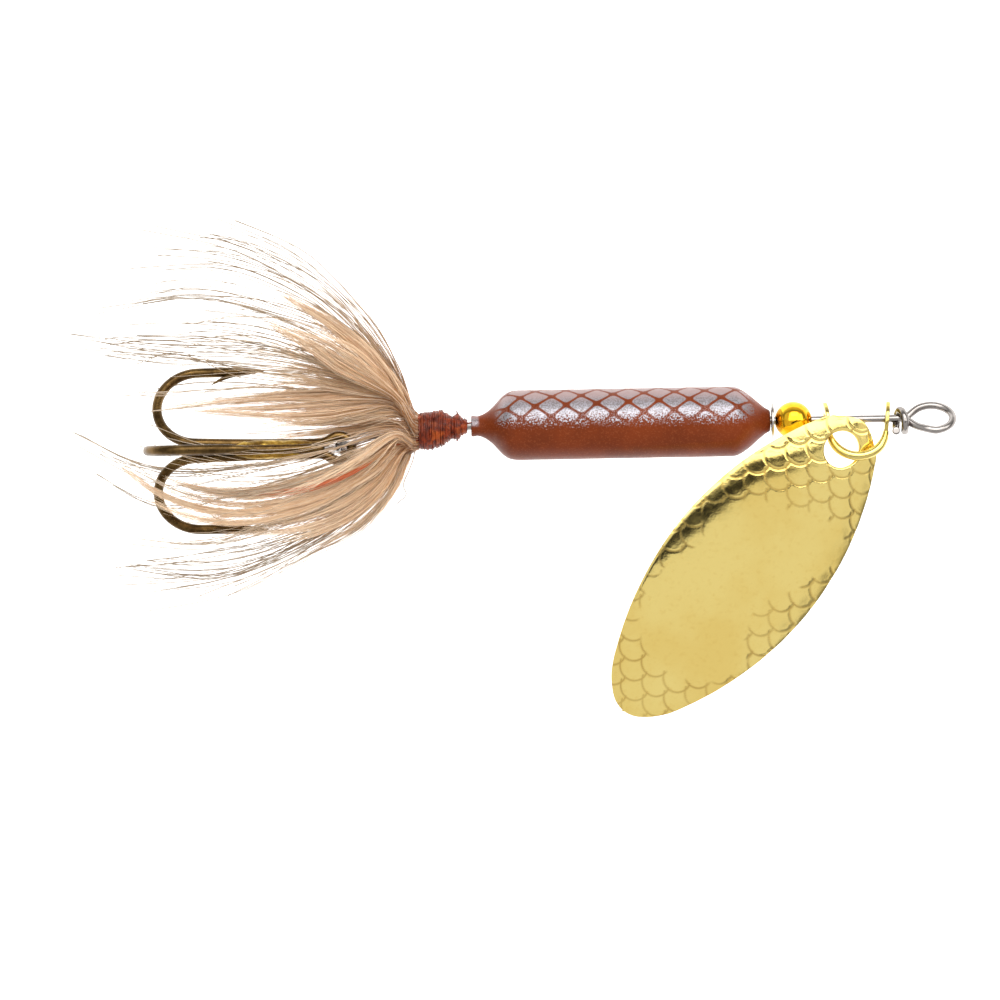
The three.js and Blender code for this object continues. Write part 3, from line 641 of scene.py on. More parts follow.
# ---------------------------------------------------------------- body
outside = [
    [-12.95, 0.93], [-13.4, 1.3], [-14.05, 1.86], [-14.6, 2.24], [-15.0, 2.42], [-15.5, 2.465], [-16.4, 2.465],
    [-20, 2.465], [-24, 2.465], [-28, 2.465], [-29.6, 2.465], [-30.4, 2.462], [-30.95, 2.36], [-31.35, 2.12], [-31.75, 1.72], [-32.15, 1.28], [-32.6, 0.93], [-32.95, 0.76], [-33.2, 0.70],
]
skin = even(refine(outside, 12), 0.06)
profile = (
    [[-12.60, 0.64], [-12.602, 0.68], [-12.625, 0.72], [-12.66, 0.76], [-12.74, 0.81], [-12.85, 0.87]]
    + [list(p) for p in skin]
    + [[-33.27, 0.705], [-33.34, 0.725], [-33.41, 0.742], [-33.5, 0.748], [-33.57, 0.738], [-33.62, 0.71], [-33.64, 0.67], [-33.635, 0.63], [-33.6, 0.6]]
    + [[-33.4, 0.59], [-30, 0.59], [-26, 0.59], [-21.5, 0.59], [-19.5, 0.45], [-17.5, 0.31], [-15, 0.31], [-12.8, 0.31], [-12.64, 0.32], [-12.605, 0.345]]
)
shape = Shape()
V, F = lathe_x(profile, 144)
r = np.hypot(V[:, 1], V[:, 2])
orange = 0.006 * value_noise(V, 3, 1.3) * (r > 1.2)
V[:, 1] *= 1 + orange / np.maximum(r, 0.3)
V[:, 2] *= 1 + orange / np.maximum(r, 0.3)
shape.add(V, F)
shape.build("body_barrel", body_mat.mat, "root", ["body"], "body_paint", sharp=60)

# ---------------------------------------------------------------- washer and bead
shape = Shape()
wx0, wx1, wr = -12.53, -12.35, 1.34
V, F = lathe_x(
    [[wx1, 0.36], [wx1, 0.7], [wx1, 1.1], [wx1 - 0.006, 1.26], [wx1 - 0.03, 1.32], [wx1 - 0.07, wr], [wx0 + 0.07, wr], [wx0 + 0.025, 1.325], [wx0, 1.28], [wx0, 0.9], [wx0, 0.36], [wx0 + 0.03, 0.33], [wx1 - 0.03, 0.33]],
    96,
)
shape.add(V, F)
shape.build("washer_disc", washer_mat.mat, "washer", ["washer"], "washer_steel", sharp=40)

shape = Shape()
prof = []
end = math.acos(0.4 / 1.32)
for i in range(49):
    a = lerp(end, -end, i / 48)
    prof.append([-10.95 + 1.32 * math.sin(a), 1.32 * math.cos(a)])
face = 1.32 * math.sin(end)
prof = [[-10.95 + face - 0.02, 0.335], [-10.95 + face + 0.006, 0.35], [-10.95 + face + 0.01, 0.375]] + prof
prof += [[-10.95 - face - 0.01, 0.375], [-10.95 - face - 0.006, 0.35], [-10.95 - face + 0.02, 0.335], [-11.5, 0.33], [-10.95, 0.33], [-10.4, 0.33]]
shape.add(*lathe_x(prof, 96))
shape.build("bead_ball", bead_mat.mat, "bead", ["bead"], "bead_gold", sharp=50)

# ---------------------------------------------------------------- clevis
CX, CT = -6.48, rad(23)
e2, e3 = vec(0, -math.cos(CT), math.sin(CT)), vec(0, -math.sin(CT), -math.cos(CT))
BEND_R, BEND_W, FLARE = 2.0, 0.82, rad(6.5)


def in_clevis(x, w, hh=0.0):
    return vec(CX + x, 0, 0) + e2 * w + e3 * hh


leg_start = (-BEND_R * math.cos(FLARE), BEND_W + BEND_R * math.sin(FLARE))


def leg_point(w):
    return (leg_start[0] - (leg_start[1] - w) * math.tan(FLARE), w)


def bend_point(d):
    return (BEND_R * math.cos(rad(d)), BEND_W + BEND_R * math.sin(rad(d)))


half = [
    (leg_point(0.62), 0.125, 0.76), (leg_point(0.78), 0.13, 0.70), (leg_point(0.95), 0.16, 0.58), (leg_start, 0.21, 0.45),
    (bend_point(165), 0.245, 0.395), (bend_point(157), 0.275, 0.36), (bend_point(143), 0.312, 0.332),
]
st = [(p, a, bb) for p, a, bb in half]
st += [(bend_point(d), 0.325, 0.325) for d in (131, 118, 104, 90, 76, 62, 49)]
st += [((-p[0], p[1]), a, bb) for p, a, bb in reversed(half)]
line = np.array([in_clevis(*p) for p, _, _ in st])
size = np.array([[a, bb] for _, a, bb in st])
k = 8
fine = refine(line, k)
size = np.stack([np.interp(np.linspace(0, len(st) - 1, len(fine)), np.arange(len(st)), size[:, c]) for c in (0, 1)], 1)
for _ in range(3):
    size[1:-1] = (size[:-2] + 2 * size[1:-1] + size[2:]) / 4
leg = Shape()
leg.add(*tube(fine, size[:, 0], size[:, 1], sides=32, plane=e3))


def eye_ring(side):
    px, pw = leg_point(0.0)
    axis = unit(vec(1, 0, 0) * math.cos(FLARE) + e2 * side * math.sin(FLARE))
    at = in_clevis(side * abs(px), pw)
    ux, uy = np.cross(e3, axis), e3
    T2 = 0.14
    prof = [(0, T2 - 0.05), (0.015, T2 - 0.015), (0.05, T2), (0.2, T2 + 0.002), (-0.2, T2 + 0.002), (-0.06, T2), (-0.018, T2 - 0.018), (0.0, T2 - 0.06)]
    loop = []
    n = 72
    for kk in range(n):
        a = 2 * math.pi * kk / n
        ro = 1 / math.sqrt((math.cos(a) / 1.25) ** 2 + (math.sin(a) / 1.08) ** 2)
        ri = 0.43
        row = [(ri + d, hh) for d, hh in prof[:4]] + [(ro + d, hh) for d, hh in prof[4:]]
        row += [(ro + d, -hh) for d, hh in prof[4:][::-1]] + [(ri + d, -hh) for d, hh in prof[:4][::-1]]
        loop.append([at + ux * rr * math.cos(a) + uy * rr * math.sin(a) + axis * hh for rr, hh in row])
    L = np.array(loop)
    m = L.shape[1]
    V = L.reshape(-1, 3)
    i = np.arange(n)[:, None]
    j = (i + 1) % n
    q0 = np.arange(m)[None, :]
    q1 = (q0 + 1) % m
    quads = np.stack([i * m + q0, i * m + q1, j * m + q1, j * m + q0], -1).reshape(-1, 4)
    tri = V[quads]
    vol = np.einsum("ij,ij->i", tri[:, 0], np.cross(tri[:, 1], tri[:, 2])).sum() + np.einsum("ij,ij->i", tri[:, 0], np.cross(tri[:, 2], tri[:, 3])).sum()
    return V, [quads if vol > 0 else quads[:, ::-1]]


def outward(V, F):
    """Turns a shell's faces outward if its volume comes out negative."""
    vol = 0.0
    for f in F:
        for k in range(1, f.shape[1] - 1):
            vol += np.einsum("ij,ij->i", V[f[:, 0]] - V[0], np.cross(V[f[:, k]] - V[0], V[f[:, k + 1]] - V[0])).sum()
    return V, F if vol > 0 else [f[:, ::-1] for f in F]


def union(name, shells, material, body, nodes, sharp):
    parts = []
    for i, (V, F) in enumerate(shells):
        s = Shape()
        s.add(*outward(V, F))
        parts.append(s.build(f"{name}_{i}", material, None))
    base_ob = parts[0]
    for other in parts[1:]:
        m = base_ob.modifiers.new("join", "BOOLEAN")
        m.operation, m.object, m.solver = "UNION", other, "EXACT"
        bpy.context.view_layer.update()
        dg = bpy.context.evaluated_depsgraph_get()
        me = bpy.data.meshes.new_from_object(base_ob.evaluated_get(dg))
        base_ob.modifiers.clear()
        base_ob.data = me
        bpy.data.objects.remove(other)
    base_ob.data.polygons.foreach_set("use_smooth", np.ones(len(base_ob.data.polygons), bool))
    base_ob.data.set_sharp_from_angle(angle=rad(sharp))
    base_ob.name = name
    base_ob.data.name = name
    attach(base_ob, body)
    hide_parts(*nodes)
    return base_ob


union("clevis_fork", [(leg.v[0], leg.f), eye_ring(-1), eye_ring(1)], clevis_mat.mat, "clevis", ["clevis"], 32)

# ---------------------------------------------------------------- blade
HOLE, DIR, ACR = vec(-7.695, -2.115), vec(-0.651, -0.7591), vec(-0.7591, 0.651)
HEAD, BT = 2.55, 0.3
outline = [
    [0, 0], [0.16, 0.62], [0.4, 1.08], [0.75, 1.57], [1.15, 2.13], [2.2, 2.88], [3.25, 3.38], [4.3, 3.83], [5.35, 4.25], [6.4, 4.6], [7.45, 4.91], [8.5, 5.16],
    [9.55, 5.35], [10.6, 5.48], [11.65, 5.61], [12.7, 5.66], [13.75, 5.65], [14.8, 5.61], [15.85, 5.5], [16.9, 5.37], [17.95, 5.15], [19.0, 4.91], [20.05, 4.63], [21.1, 4.28],
    [22.15, 3.88], [23.2, 3.43], [24.25, 2.9], [25.05, 2.36], [25.6, 1.88], [26.05, 1.33], [26.35, 0.8], [26.5, 0],
]
oo = np.array(outline)
# the head's flank is eased between its stations, so that the edge runs fair
for _ in range(2):
    oo[2:-2, 1] = (oo[1:-3, 1] + 4 * oo[2:-2, 1] + oo[3:-1, 1]) / 6
full = np.vstack([oo[1] * [1, -1], oo, oo[-2] * [1, -1]])
dense = catmull(full, np.linspace(1, len(full) - 2, 3000))
dense = even(dense, 0.002)
NS, NV = 330, 124
cum = np.concatenate([[0], np.cumsum(np.linalg.norm(np.diff(dense, axis=0), axis=1))])
want = np.linspace(0, cum[-1], NS + 1)
rd = np.interp(want, cum, dense[:, 0])
rw = np.maximum(np.interp(want, cum, dense[:, 1]), 0)
BULGE = 0.07
nar = 1 - BULGE / np.hypot(rw, 1.2)
rd, rw = 12.6 + (rd - 12.6) * (1 - BULGE / 13.5), rw * nar


def blade_z(s, v):
    return 1.12 + 0.1858 * s - 0.013 * s * s + 0.33 * v - 0.0275 * v * v


half_at = lambda s: np.interp(s + HEAD, dense[:, 0], dense[:, 1])

# grid of (s, v): a pole at each end, and rows between
u = np.linspace(-1, 1, NV + 1)
S = np.repeat(rd[1:-1, None] - HEAD, NV + 1, 1)
Vv = rw[1:-1, None] * u[None, :]
sv = np.vstack([[[-HEAD, 0.0]], np.stack([S, Vv], -1).reshape(-1, 2), [[26.5 - HEAD, 0.0]]])
rows, cols = NS - 1, NV + 1
i = np.arange(rows - 1)[:, None]
j = np.arange(cols - 1)[None, :]
quads = np.stack([1 + i * cols + j, 1 + i * cols + j + 1, 1 + (i + 1) * cols + j + 1, 1 + (i + 1) * cols + j], -1).reshape(-1, 4)
jj = np.arange(cols - 1)
tris = np.vstack([np.stack([np.zeros(cols - 1, int), 1 + jj + 1, 1 + jj], 1), np.stack([np.full(cols - 1, len(sv) - 1), 1 + (rows - 1) * cols + jj, 1 + (rows - 1) * cols + jj + 1], 1)])

# the hole: grid points next to its edge move onto it
HA, HB = 1.38, 1.3


def hole_f(sv):
    return np.hypot(sv[:, 0] / HA, sv[:, 1] / HB) - 1


edges = np.vstack([quads[:, [0, 1]], quads[:, [1, 2]], quads[:, [2, 3]], quads[:, [3, 0]]])
on = np.zeros(len(sv), bool)
for _ in range(4):
    f = np.where(on, 0, hole_f(sv))
    cross = edges[(f[edges[:, 0]] * f[edges[:, 1]]) < 0]
    if not len(cross):
        break
    pick = np.where(np.abs(f[cross[:, 0]]) < np.abs(f[cross[:, 1]]), cross[:, 0], cross[:, 1])
    on[np.unique(pick)] = True
idx = np.where(on)[0]
ang = np.arctan2(sv[idx, 1] / HB, sv[idx, 0] / HA)
sv[idx] = np.stack([HA * np.cos(ang), HB * np.sin(ang)], 1)
f = np.where(on, 0, hole_f(sv))
sign = np.sign(f).astype(int)
qs = sign[quads]
keep = quads[((qs < 0).sum(1) == 0) & ((qs > 0).sum(1) > 0)]
mixed = quads[((qs < 0).sum(1) > 0) & ((qs > 0).sum(1) > 0)]
extra = []
for qd in mixed:
    sg = sign[qd]
    for kq in range(4):
        if sg[kq] > 0:
            a_, b_, c_ = qd[(kq - 1) % 4], qd[kq], qd[(kq + 1) % 4]
            if sign[a_] >= 0 and sign[c_] >= 0:
                extra.append([a_, b_, c_])
tris = np.vstack([tris] + ([np.array(extra)] if extra else []))
used = np.unique(np.concatenate([keep.ravel(), tris.ravel()]))
remap = -np.ones(len(sv), int)
remap[used] = np.arange(len(used))
sv, keep, tris, on = sv[used], remap[keep], remap[tris], on[used]

# stamped scales: one stroke shape repeated on a leaning lattice, left out over the plain middle panel
PX = 14.2
SC_A, SC_B, SC_AT = vec(1.498, 0.2616), vec(0.0306, -1.4235), None
ce, se = math.cos(EPS), math.sin(EPS)


def from_px(px, py):
    dx, dy = np.asarray(px, float) - 948.7, np.asarray(py, float) - 417.5
    return np.stack([(dx * ce - dy * se) / PX, -(dx * se + dy * ce) / PX], -1)


SC_AT = vec(-10.70, -4.62)
stroke = np.array([[-0.93, 1.55], [-1.0, 1.2], [-0.985, 0.88], [-0.865, 0.535], [-0.635, 0.255], [-0.325, 0.065], [0, 0], [0.325, 0.05], [0.58, 0.185], [0.77, 0.39], [0.84, 0.6]])
stroke = catmull(stroke, np.linspace(0, len(stroke) - 1, 31))
panel_px = [(700, 513), (716, 503), (742, 499), (772, 502), (792, 512), (812, 512), (833, 524), (850, 545), (842, 562), (815, 574), (795, 590), (772, 596), (752, 612), (744, 640), (748, 662), (725, 680), (697, 684), (668, 672), (650, 658), (641, 640), (637, 615), (645, 590), (662, 568), (673, 553), (690, 550), (702, 535)]
panel = from_px([p[0] for p in panel_px], [p[1] for p in panel_px])
xy = HOLE + DIR * sv[:, :1] + ACR * sv[:, 1:]


def seg_dist(P, A, B):
    ab = B - A
    t = np.clip(((P - A) @ ab) / (ab @ ab), 0, 1)
    return np.linalg.norm(P - A - t[:, None] * ab, axis=1)


M = np.linalg.inv(np.stack([SC_A, SC_B], 1))
cell_ij = (xy - SC_AT) @ M.T
dist = np.full(len(xy), 9.0)
fl_ij = np.floor(cell_ij)
for di in (-1, 0, 1, 2):
    for dj in (-1, 0, 1, 2):
        local = (cell_ij - fl_ij - [di, dj]) @ np.stack([SC_A, SC_B], 1).T
        for kk in range(len(stroke) - 1):
            dist = np.minimum(dist, seg_dist(local, stroke[kk], stroke[kk + 1]))


def inside_poly(P, poly):
    x, y = P[:, 0], P[:, 1]
    res = np.zeros(len(P), bool)
    n = len(poly)
    for a in range(n):
        x0, y0 = poly[a]
        x1, y1 = poly[(a + 1) % n]
        c = (y0 > y) != (y1 > y)
        with np.errstate(divide="ignore", invalid="ignore"):
            res ^= c & (x < (x1 - x0) * (y - y0) / (y1 - y0) + x0)
    return res


pd = np.full(len(xy), 9.0)
for a in range(len(panel)):
    pd = np.minimum(pd, seg_dist(xy, panel[a], panel[(a + 1) % len(panel)]))
pd = np.where(inside_poly(xy, panel), -pd, pd)
ends = np.clip((pd + 0.12) / 0.24, 0, 1)
wear = 0.75 + 0.25 * value_noise(np.c_[xy, np.zeros(len(xy))], 5, 0.6)
grv = np.exp(-((dist / 0.07) ** 2)) * ends * wear
lip = np.exp(-(((dist - 0.15) / 0.06) ** 2)) * ends * wear

ease = lambda x: x * x * (3 - 2 * x)
flank = ease(np.clip((sv[:, 0] - 3.2) / 3.2, 0, 1)) * ease(np.clip((sv[:, 1] - 0.5) / 2, 0, 1))
deep = 1 - 0.72 * flank

# heights: the hung sheet, its edge rolled over a little, and the strokes
hw = half_at(sv[:, 0])
edge_d = np.minimum(hw - np.abs(sv[:, 1]), np.minimum(sv[:, 0] + HEAD, 26.5 - HEAD - sv[:, 0]) * 1.6)
edge_d = np.maximum(edge_d, 0)


def mid_height(sv, edge_d):
    hole_d = np.maximum(hole_f(sv), 0) * 1.34
    roll = 0.04 * np.clip(1 - edge_d / 0.29, 0, 1) ** 2 * (0.3 + 0.7 * np.clip(sv[:, 1] + 0.5, 0, 1))
    roll_h = 0.02 * np.clip(1 - hole_d / 0.2, 0, 1) ** 2
    return blade_z(sv[:, 0], sv[:, 1]) - roll - roll_h


def edge_of(sv):
    hw = half_at(sv[:, 0])
    e = np.minimum(hw - np.abs(sv[:, 1]), np.minimum(sv[:, 0] + HEAD, 26.5 - HEAD - sv[:, 0]) * 1.6)
    return np.maximum(e, 0)


zc = mid_height(sv, edge_d)
hstep = 0.02
gs = (mid_height(sv + [hstep, 0], edge_of(sv + [hstep, 0])) - mid_height(sv - [hstep, 0], edge_of(sv - [hstep, 0]))) / (2 * hstep)
gv = (mid_height(sv + [0, hstep], edge_of(sv + [0, hstep])) - mid_height(sv - [0, hstep], edge_of(sv - [0, hstep]))) / (2 * hstep)
# the sheet's own slope sets the offset direction; the rolled edge only lowers it
gs0, gv0 = 0.1858 - 0.026 * sv[:, 0], 0.33 - 0.055 * sv[:, 1]
Nn = unit(np.c_[-gs0[:, None] * DIR[None, :] - gv0[:, None] * ACR[None, :], np.ones(len(sv))])
mid = np.c_[xy, zc]
dent = 0.003 * value_noise(mid, 9, 0.45) + 0.0012 * value_noise(mid, 10, 1.6)
dent = dent + 0.0045 * ends * deep * (np.cos(2 * np.pi * (cell_ij[:, 0] + 0.25)) + np.cos(2 * np.pi * (cell_ij[:, 1] - 0.4)))
top = mid + Nn * (BT / 2 - 0.025 * grv * deep + 0.005 * lip * deep + dent)[:, None]
bot = mid - Nn * (BT / 2 + 0.03 * grv - dent)[:, None]
n0 = len(mid)

# outer and hole edges, rounded over
all_edges = {}
for arr in (keep, tris):
    m = arr.shape[1]
    for kk in range(m):
        for a_, b_ in zip(arr[:, kk].tolist(), arr[:, (kk + 1) % m].tolist()):
            key = (a_, b_) if a_ < b_ else (b_, a_)
            all_edges[key] = None if key in all_edges else (a_, b_)
rim = [e for e in all_edges.values() if e is not None]
nxt = {a_: b_ for a_, b_ in rim}
rim_v = np.array(sorted(nxt))
prev = {b_: a_ for a_, b_ in rim}
tan = unit(mid[[nxt[a_] for a_ in rim_v]] - mid[[prev[a_] for a_ in rim_v]])
outw = unit(np.cross(tan, Nn[rim_v]))
# faces run so that the outside of the sheet lies to one side of every rim edge
test = mid[rim_v] + outw * 0.01
s_t = (test[:, :2] - HOLE) @ DIR
v_t = (test[:, :2] - HOLE) @ ACR
is_hole = on[rim_v]
inward = np.where(is_hole, hole_f(np.c_[s_t, v_t]) > 0, np.abs(v_t) < half_at(s_t))
outw[inward] *= -1
verts = [top, bot]
base_i = 2 * n0
pos = {int(a_): kk for kk, a_ in enumerate(rim_v)}
layers = [top[rim_v]]
for ph in (40, 70, 90, 110, 140):
    c_, s_ = math.cos(rad(ph)), math.sin(rad(ph))
    layer = mid[rim_v] + Nn[rim_v] * (BT / 2 * c_) + outw * (BULGE * s_)
    layers.append(layer)
    verts.append(layer)
nr = len(rim_v)
ids = [rim_v] + [base_i + kk * nr + np.arange(nr) for kk in range(5)] + [rim_v + n0]
rq = []
ea = np.array([pos[a_] for a_, b_ in rim])
eb = np.array([pos[b_] for a_, b_ in rim])
for kk in range(6):
    A, Bq = ids[kk], ids[kk + 1]
    rq.append(np.stack([A[eb], A[ea], Bq[ea], Bq[eb]], 1))
up = np.cross(mid[keep[0][1]] - mid[keep[0][0]], mid[keep[0][2]] - mid[keep[0][0]])[2] > 0
faces = [keep, tris, keep[:, ::-1] + n0, tris[:, ::-1] + n0] + rq
if not up:
    faces = [fc[:, ::-1] for fc in faces]
shape = Shape()
shape.add(np.vstack(verts), faces, groove=np.concatenate([grv, grv * 0.3, np.zeros(5 * nr)]))
shape.build("blade_spoon", blade_mat.mat, "blade", ["blade"], "blade_gold", sharp=60)

# ---------------------------------------------------------------- thread wrap
stations = np.array([
    [-33.9, 0, 0, 0.35, 0.62], [-34.3, -0.01, 0, 0.52, 0.70], [-34.6, -0.03, 0, 0.74, 0.80], [-34.85, -0.05, 0, 0.66, 0.74],
    [-35.25, -0.1, 0, 0.80, 0.83], [-35.85, -0.18, 0.01, 1.03, 1.0], [-36.5, -0.26, 0.02, 1.09, 1.04], [-37.15, -0.31, 0.03, 1.05, 1.0], [-37.5, -0.33, 0.03, 0.9, 0.88],
])
fine_st = catmull(stations, np.linspace(0, len(stations) - 1, 90))


def wrap_at(x):
    o = np.argsort(fine_st[:, 0])
    return [np.interp(x, fine_st[o, 0], fine_st[o, c]) for c in (1, 2, 3, 4)]


shape = Shape()
C = fine_st[:, :3]
n = len(C)
# the core shell, deep=1.0, carries the painted shade seen between the windings
shape.add(*outward(*rings(C, np.tile(vec(0, 1, 0), (n, 1)), np.tile(vec(0, 0, 1), (n, 1)), fine_st[:, 3], fine_st[:, 4], 40)), deep=1.0)


def winding(x0, x1, turns, r, lift, seed, start=0.0, per=44):
    """One run of thread from x0 to x1 over what lies under it."""
    m = int(abs(turns) * per)
    tt = np.linspace(0, 1, m)
    th = start + 2 * np.pi * turns * tt
    g = np.random.default_rng(seed)
    kn = g.uniform(-1, 1, int(abs(turns)) + 3)
    jit = np.interp(tt * (len(kn) - 1), np.arange(len(kn)), kn)
    step = abs(x1 - x0) / max(abs(turns), 1)
    xs = lerp(x0, x1, tt) + jit * step * 0.4
    yc, zc_, ry, rz = wrap_at(xs)
    lf = lift + r * 0.75 + 0.02 * jit
    # the bead of lumps on the +Y side, and the ridge near the front
    lump = 0.11 * np.exp(-(((xs + 35.75) / 0.26) ** 2)) * np.clip(np.cos(th), 0, 1) ** 4
    ridge = 0.06 * np.exp(-(((xs + 34.62) / 0.08) ** 2))
    P = np.stack([xs, yc + (ry + lf + lump + ridge) * np.cos(th), zc_ + (rz + lf + ridge * 0.6) * np.sin(th)], 1)
    V, F = outward(*tube(P, r, sides=8))
    tw = np.concatenate([[0] * 4 * 8, np.repeat(tt * abs(turns) * 90, 8), [0] * 4 * 8, [0, 0]])
    shape.add(V, F, twist=tw[: len(V)] if len(tw) >= len(V) else np.pad(tw, (0, len(V) - len(tw))), deep=0.0)


winding(-33.95, -37.5, 27, 0.072, 0.0, 1)
winding(-35.1, -37.45, 15, 0.07, 0.055, 2, start=1.3)
winding(-37.4, -35.3, 11.3, 0.066, 0.10, 3, start=2.1)
winding(-34.45, -34.8, 3, 0.075, 0.05, 4)
winding(-35.55, -36.15, 4.2, 0.075, 0.13, 5, start=0.4)
winding(-36.35, -37.2, 5.5, 0.07, 0.13, 6, start=2.8)
winding(-36.95, -36.1, 1.0, 0.062, 0.19, 7, start=0.9, per=90)
winding(-37.3, -35.6, 1.6, 0.055, 0.17, 9, start=4.1, per=90)
winding(-36.2, -37.2, 1.3, 0.058, 0.18, 10, start=5.3, per=90)
winding(-34.7, -35.9, 1.2, 0.055, 0.14, 12, start=2.2, per=90)
winding(-34.0, -35.4, 6.0, 0.06, 0.05, 8, start=1.9)
# the tied-off end that stands a little proud, and a nick of thread at the ridge
for P in (
    [[-34.62, 0.78, 0.3], [-34.60, 0.95, 0.34], [-34.66, 1.06, 0.36]],
    [[-34.60, -0.78, 0.25], [-34.62, -0.98, 0.27], [-34.70, -1.05, 0.22]],
    [[-34.1, 0.3, 0.72], [-33.85, 0.2, 0.8], [-33.62, 0.26, 0.82]],
):
    P = refine(P, 6)
    shape.add(*outward(*tube(P, np.linspace(0.07, 0.03, len(P)), sides=8)), twist=0.0, deep=0.0)
shape.build("thread_binding", thread_mat.mat, "root", ["thread_wrap"], "thread")

# ---------------------------------------------------------------- treble
TY, TZ, HR = -1.4, 1.08, 0.345
OUT, BX, SHANK, PXX = 6.4, -52.9, 0.62, -48.1
EYE_X, EYE_R, SHANK_Y = -42.93, 0.88, 0.381
EYE_Z = TZ - 0.22


def hook_plane(d):
    return vec(0, math.cos(rad(d)), math.sin(rad(d)))


def on_hook(d, x, r):
    return vec(x, TY, TZ) + hook_plane(d) * r


BR = (OUT - SHANK) / 2


def hook_stations(d, longer, front):
    bx = BX - longer
    out = [
        (on_hook(d, PXX - longer, OUT + 0.12), 0.05), (on_hook(d, PXX - longer - 0.45, OUT + 0.105), 0.33), (on_hook(d, PXX - longer - 0.9, OUT + 0.09), 0.58),
        (on_hook(d, PXX - longer - 1.4, OUT + 0.07), 0.8), (on_hook(d, PXX - longer - 1.95, OUT + 0.05), 0.95), (on_hook(d, PXX - longer - 2.6, OUT + 0.02), 1),
        (on_hook(d, lerp(PXX - longer - 2.6, bx, 0.5), OUT + 0.01), 1),
    ]
    for a in range(90, 271, 10):
        out.append((on_hook(d, bx + BR * math.cos(rad(a)), OUT - BR + BR * math.sin(rad(a))), 1))
    out += [(on_hook(d, -51.8, 0.575), 1), (on_hook(d, -50.6, 0.53), 1), (on_hook(d, -48.4, 0.475), 1), (on_hook(d, -46.4, 0.455), 1), (on_hook(d, front, 0.44), 1)]
    return out


def barb_shell(d, longer):
    x = PXX - longer
    pts = refine([on_hook(d, x - 1.75, OUT - 0.02), on_hook(d, x - 2.2, OUT - 0.16), on_hook(d, x - 2.9, OUT - 0.42), on_hook(d, x - 3.45, OUT - 0.72), on_hook(d, x - 3.95, OUT - 1.04)], 5)
    m = len(pts)
    tt = np.linspace(0, 1, m)
    ra = 0.2 * np.interp(tt, [0, 0.3, 0.7, 1], [0.8, 0.85, 0.55, 0.06])
    rb = 0.2 * np.interp(tt, [0, 0.3, 0.7, 1], [0.95, 0.95, 0.65, 0.1])
    return outward(*tube(pts, ra, rb, sides=16, first=hook_plane(d)))


def swept(stations, k, **kw):
    P = np.array([s[0] for s in stations])
    R = np.array([s[1] for s in stations]) * HR
    line = refine(P, k)
    rr = np.interp(np.linspace(0, len(P) - 1, len(line)), np.arange(len(P)), R)
    for _ in range(2):
        rr[1:-1] = (rr[:-2] + 2 * rr[1:-1] + rr[2:]) / 4
    return outward(*tube(line, rr, sides=26, **kw))


a1, a2 = hook_stations(-30, 0, -44.4), hook_stations(210, 0, -44.4)
ring_pts = [(vec(EYE_X + EYE_R * math.cos(rad(d)), TY + EYE_R * math.sin(rad(d)), EYE_Z), 1) for d in np.linspace(125, -125, 19)]


def join_at(side):
    p3 = vec(EYE_X + EYE_R * math.cos(rad(125)), TY + side * EYE_R * math.sin(rad(125)), EYE_Z)
    y_ = TY + side * SHANK_Y
    p = [vec(-44.4, y_, EYE_Z), vec(-44.1, y_, EYE_Z), p3 - vec(0.819, side * 0.574, 0) * 0.45, p3]
    return [((1 - t) ** 3 * p[0] + 3 * (1 - t) ** 2 * t * p[1] + 3 * (1 - t) * t * t * p[2] + t**3 * p[3], 1) for t in np.linspace(0, 1, 6)[1:-1]]


double = a1 + join_at(1) + ring_pts + join_at(-1)[::-1] + a2[::-1]
shape = Shape()
shape.add(*swept(double, 5, first=vec(0, 0, 1)))
shape.add(*barb_shell(-30, 0)).add(*barb_shell(210, 0))
shape.build("treble_pair", hook_mat.mat, "treble", ["treble_double_hook"], "hook_bronze", sharp=60)
shape = Shape()
shape.add(*swept(hook_stations(90, 0.25, -44.25), 5, plane=vec(0, 1, 0)))
shape.add(*barb_shell(90, 0.25))
shape.build("treble_single", hook_mat.mat, "treble", ["treble_third_hook"], "hook_bronze", sharp=60)

# braze: fills the valleys between the shanks, with a soft uneven skin
shape = Shape()
xs = np.linspace(-50.45, -44.6, 90)
rr = np.interp(xs, [-50.45, -50.1, -49.6, -49.0, -46.2, -45.3, -44.9, -44.6], [0.2, 0.42, 0.58, 0.66, 0.65, 0.6, 0.48, 0.25])
C = np.stack([xs, np.full(90, TY), np.full(90, TZ)], 1)
V, F = rings(C, np.tile(vec(0, 1, 0), (90, 1)), np.tile(vec(0, 0, 1), (90, 1)), rr, rr, 48)
off = V - np.c_[V[:, 0], np.full(len(V), TY), np.full(len(V), TZ)]
rad_ = np.linalg.norm(off, axis=1)
V += unit(off) * (0.035 * value_noise(V, 21, 2.2) + 0.02 * value_noise(V, 22, 5.0))[:, None] * (rad_ > 0.1)[:, None]
shape.add(*outward(V, F))
shape.build("treble_fillet", braze_mat.mat, "treble", ["treble_braze"], "braze")

# ---------------------------------------------------------------- hackle
# A tuft is a run of soft barbs that lie together and part into fingers. Its line is given seen from above, with heights.
ROOT = vec(-37.1, -0.31, 0.03)


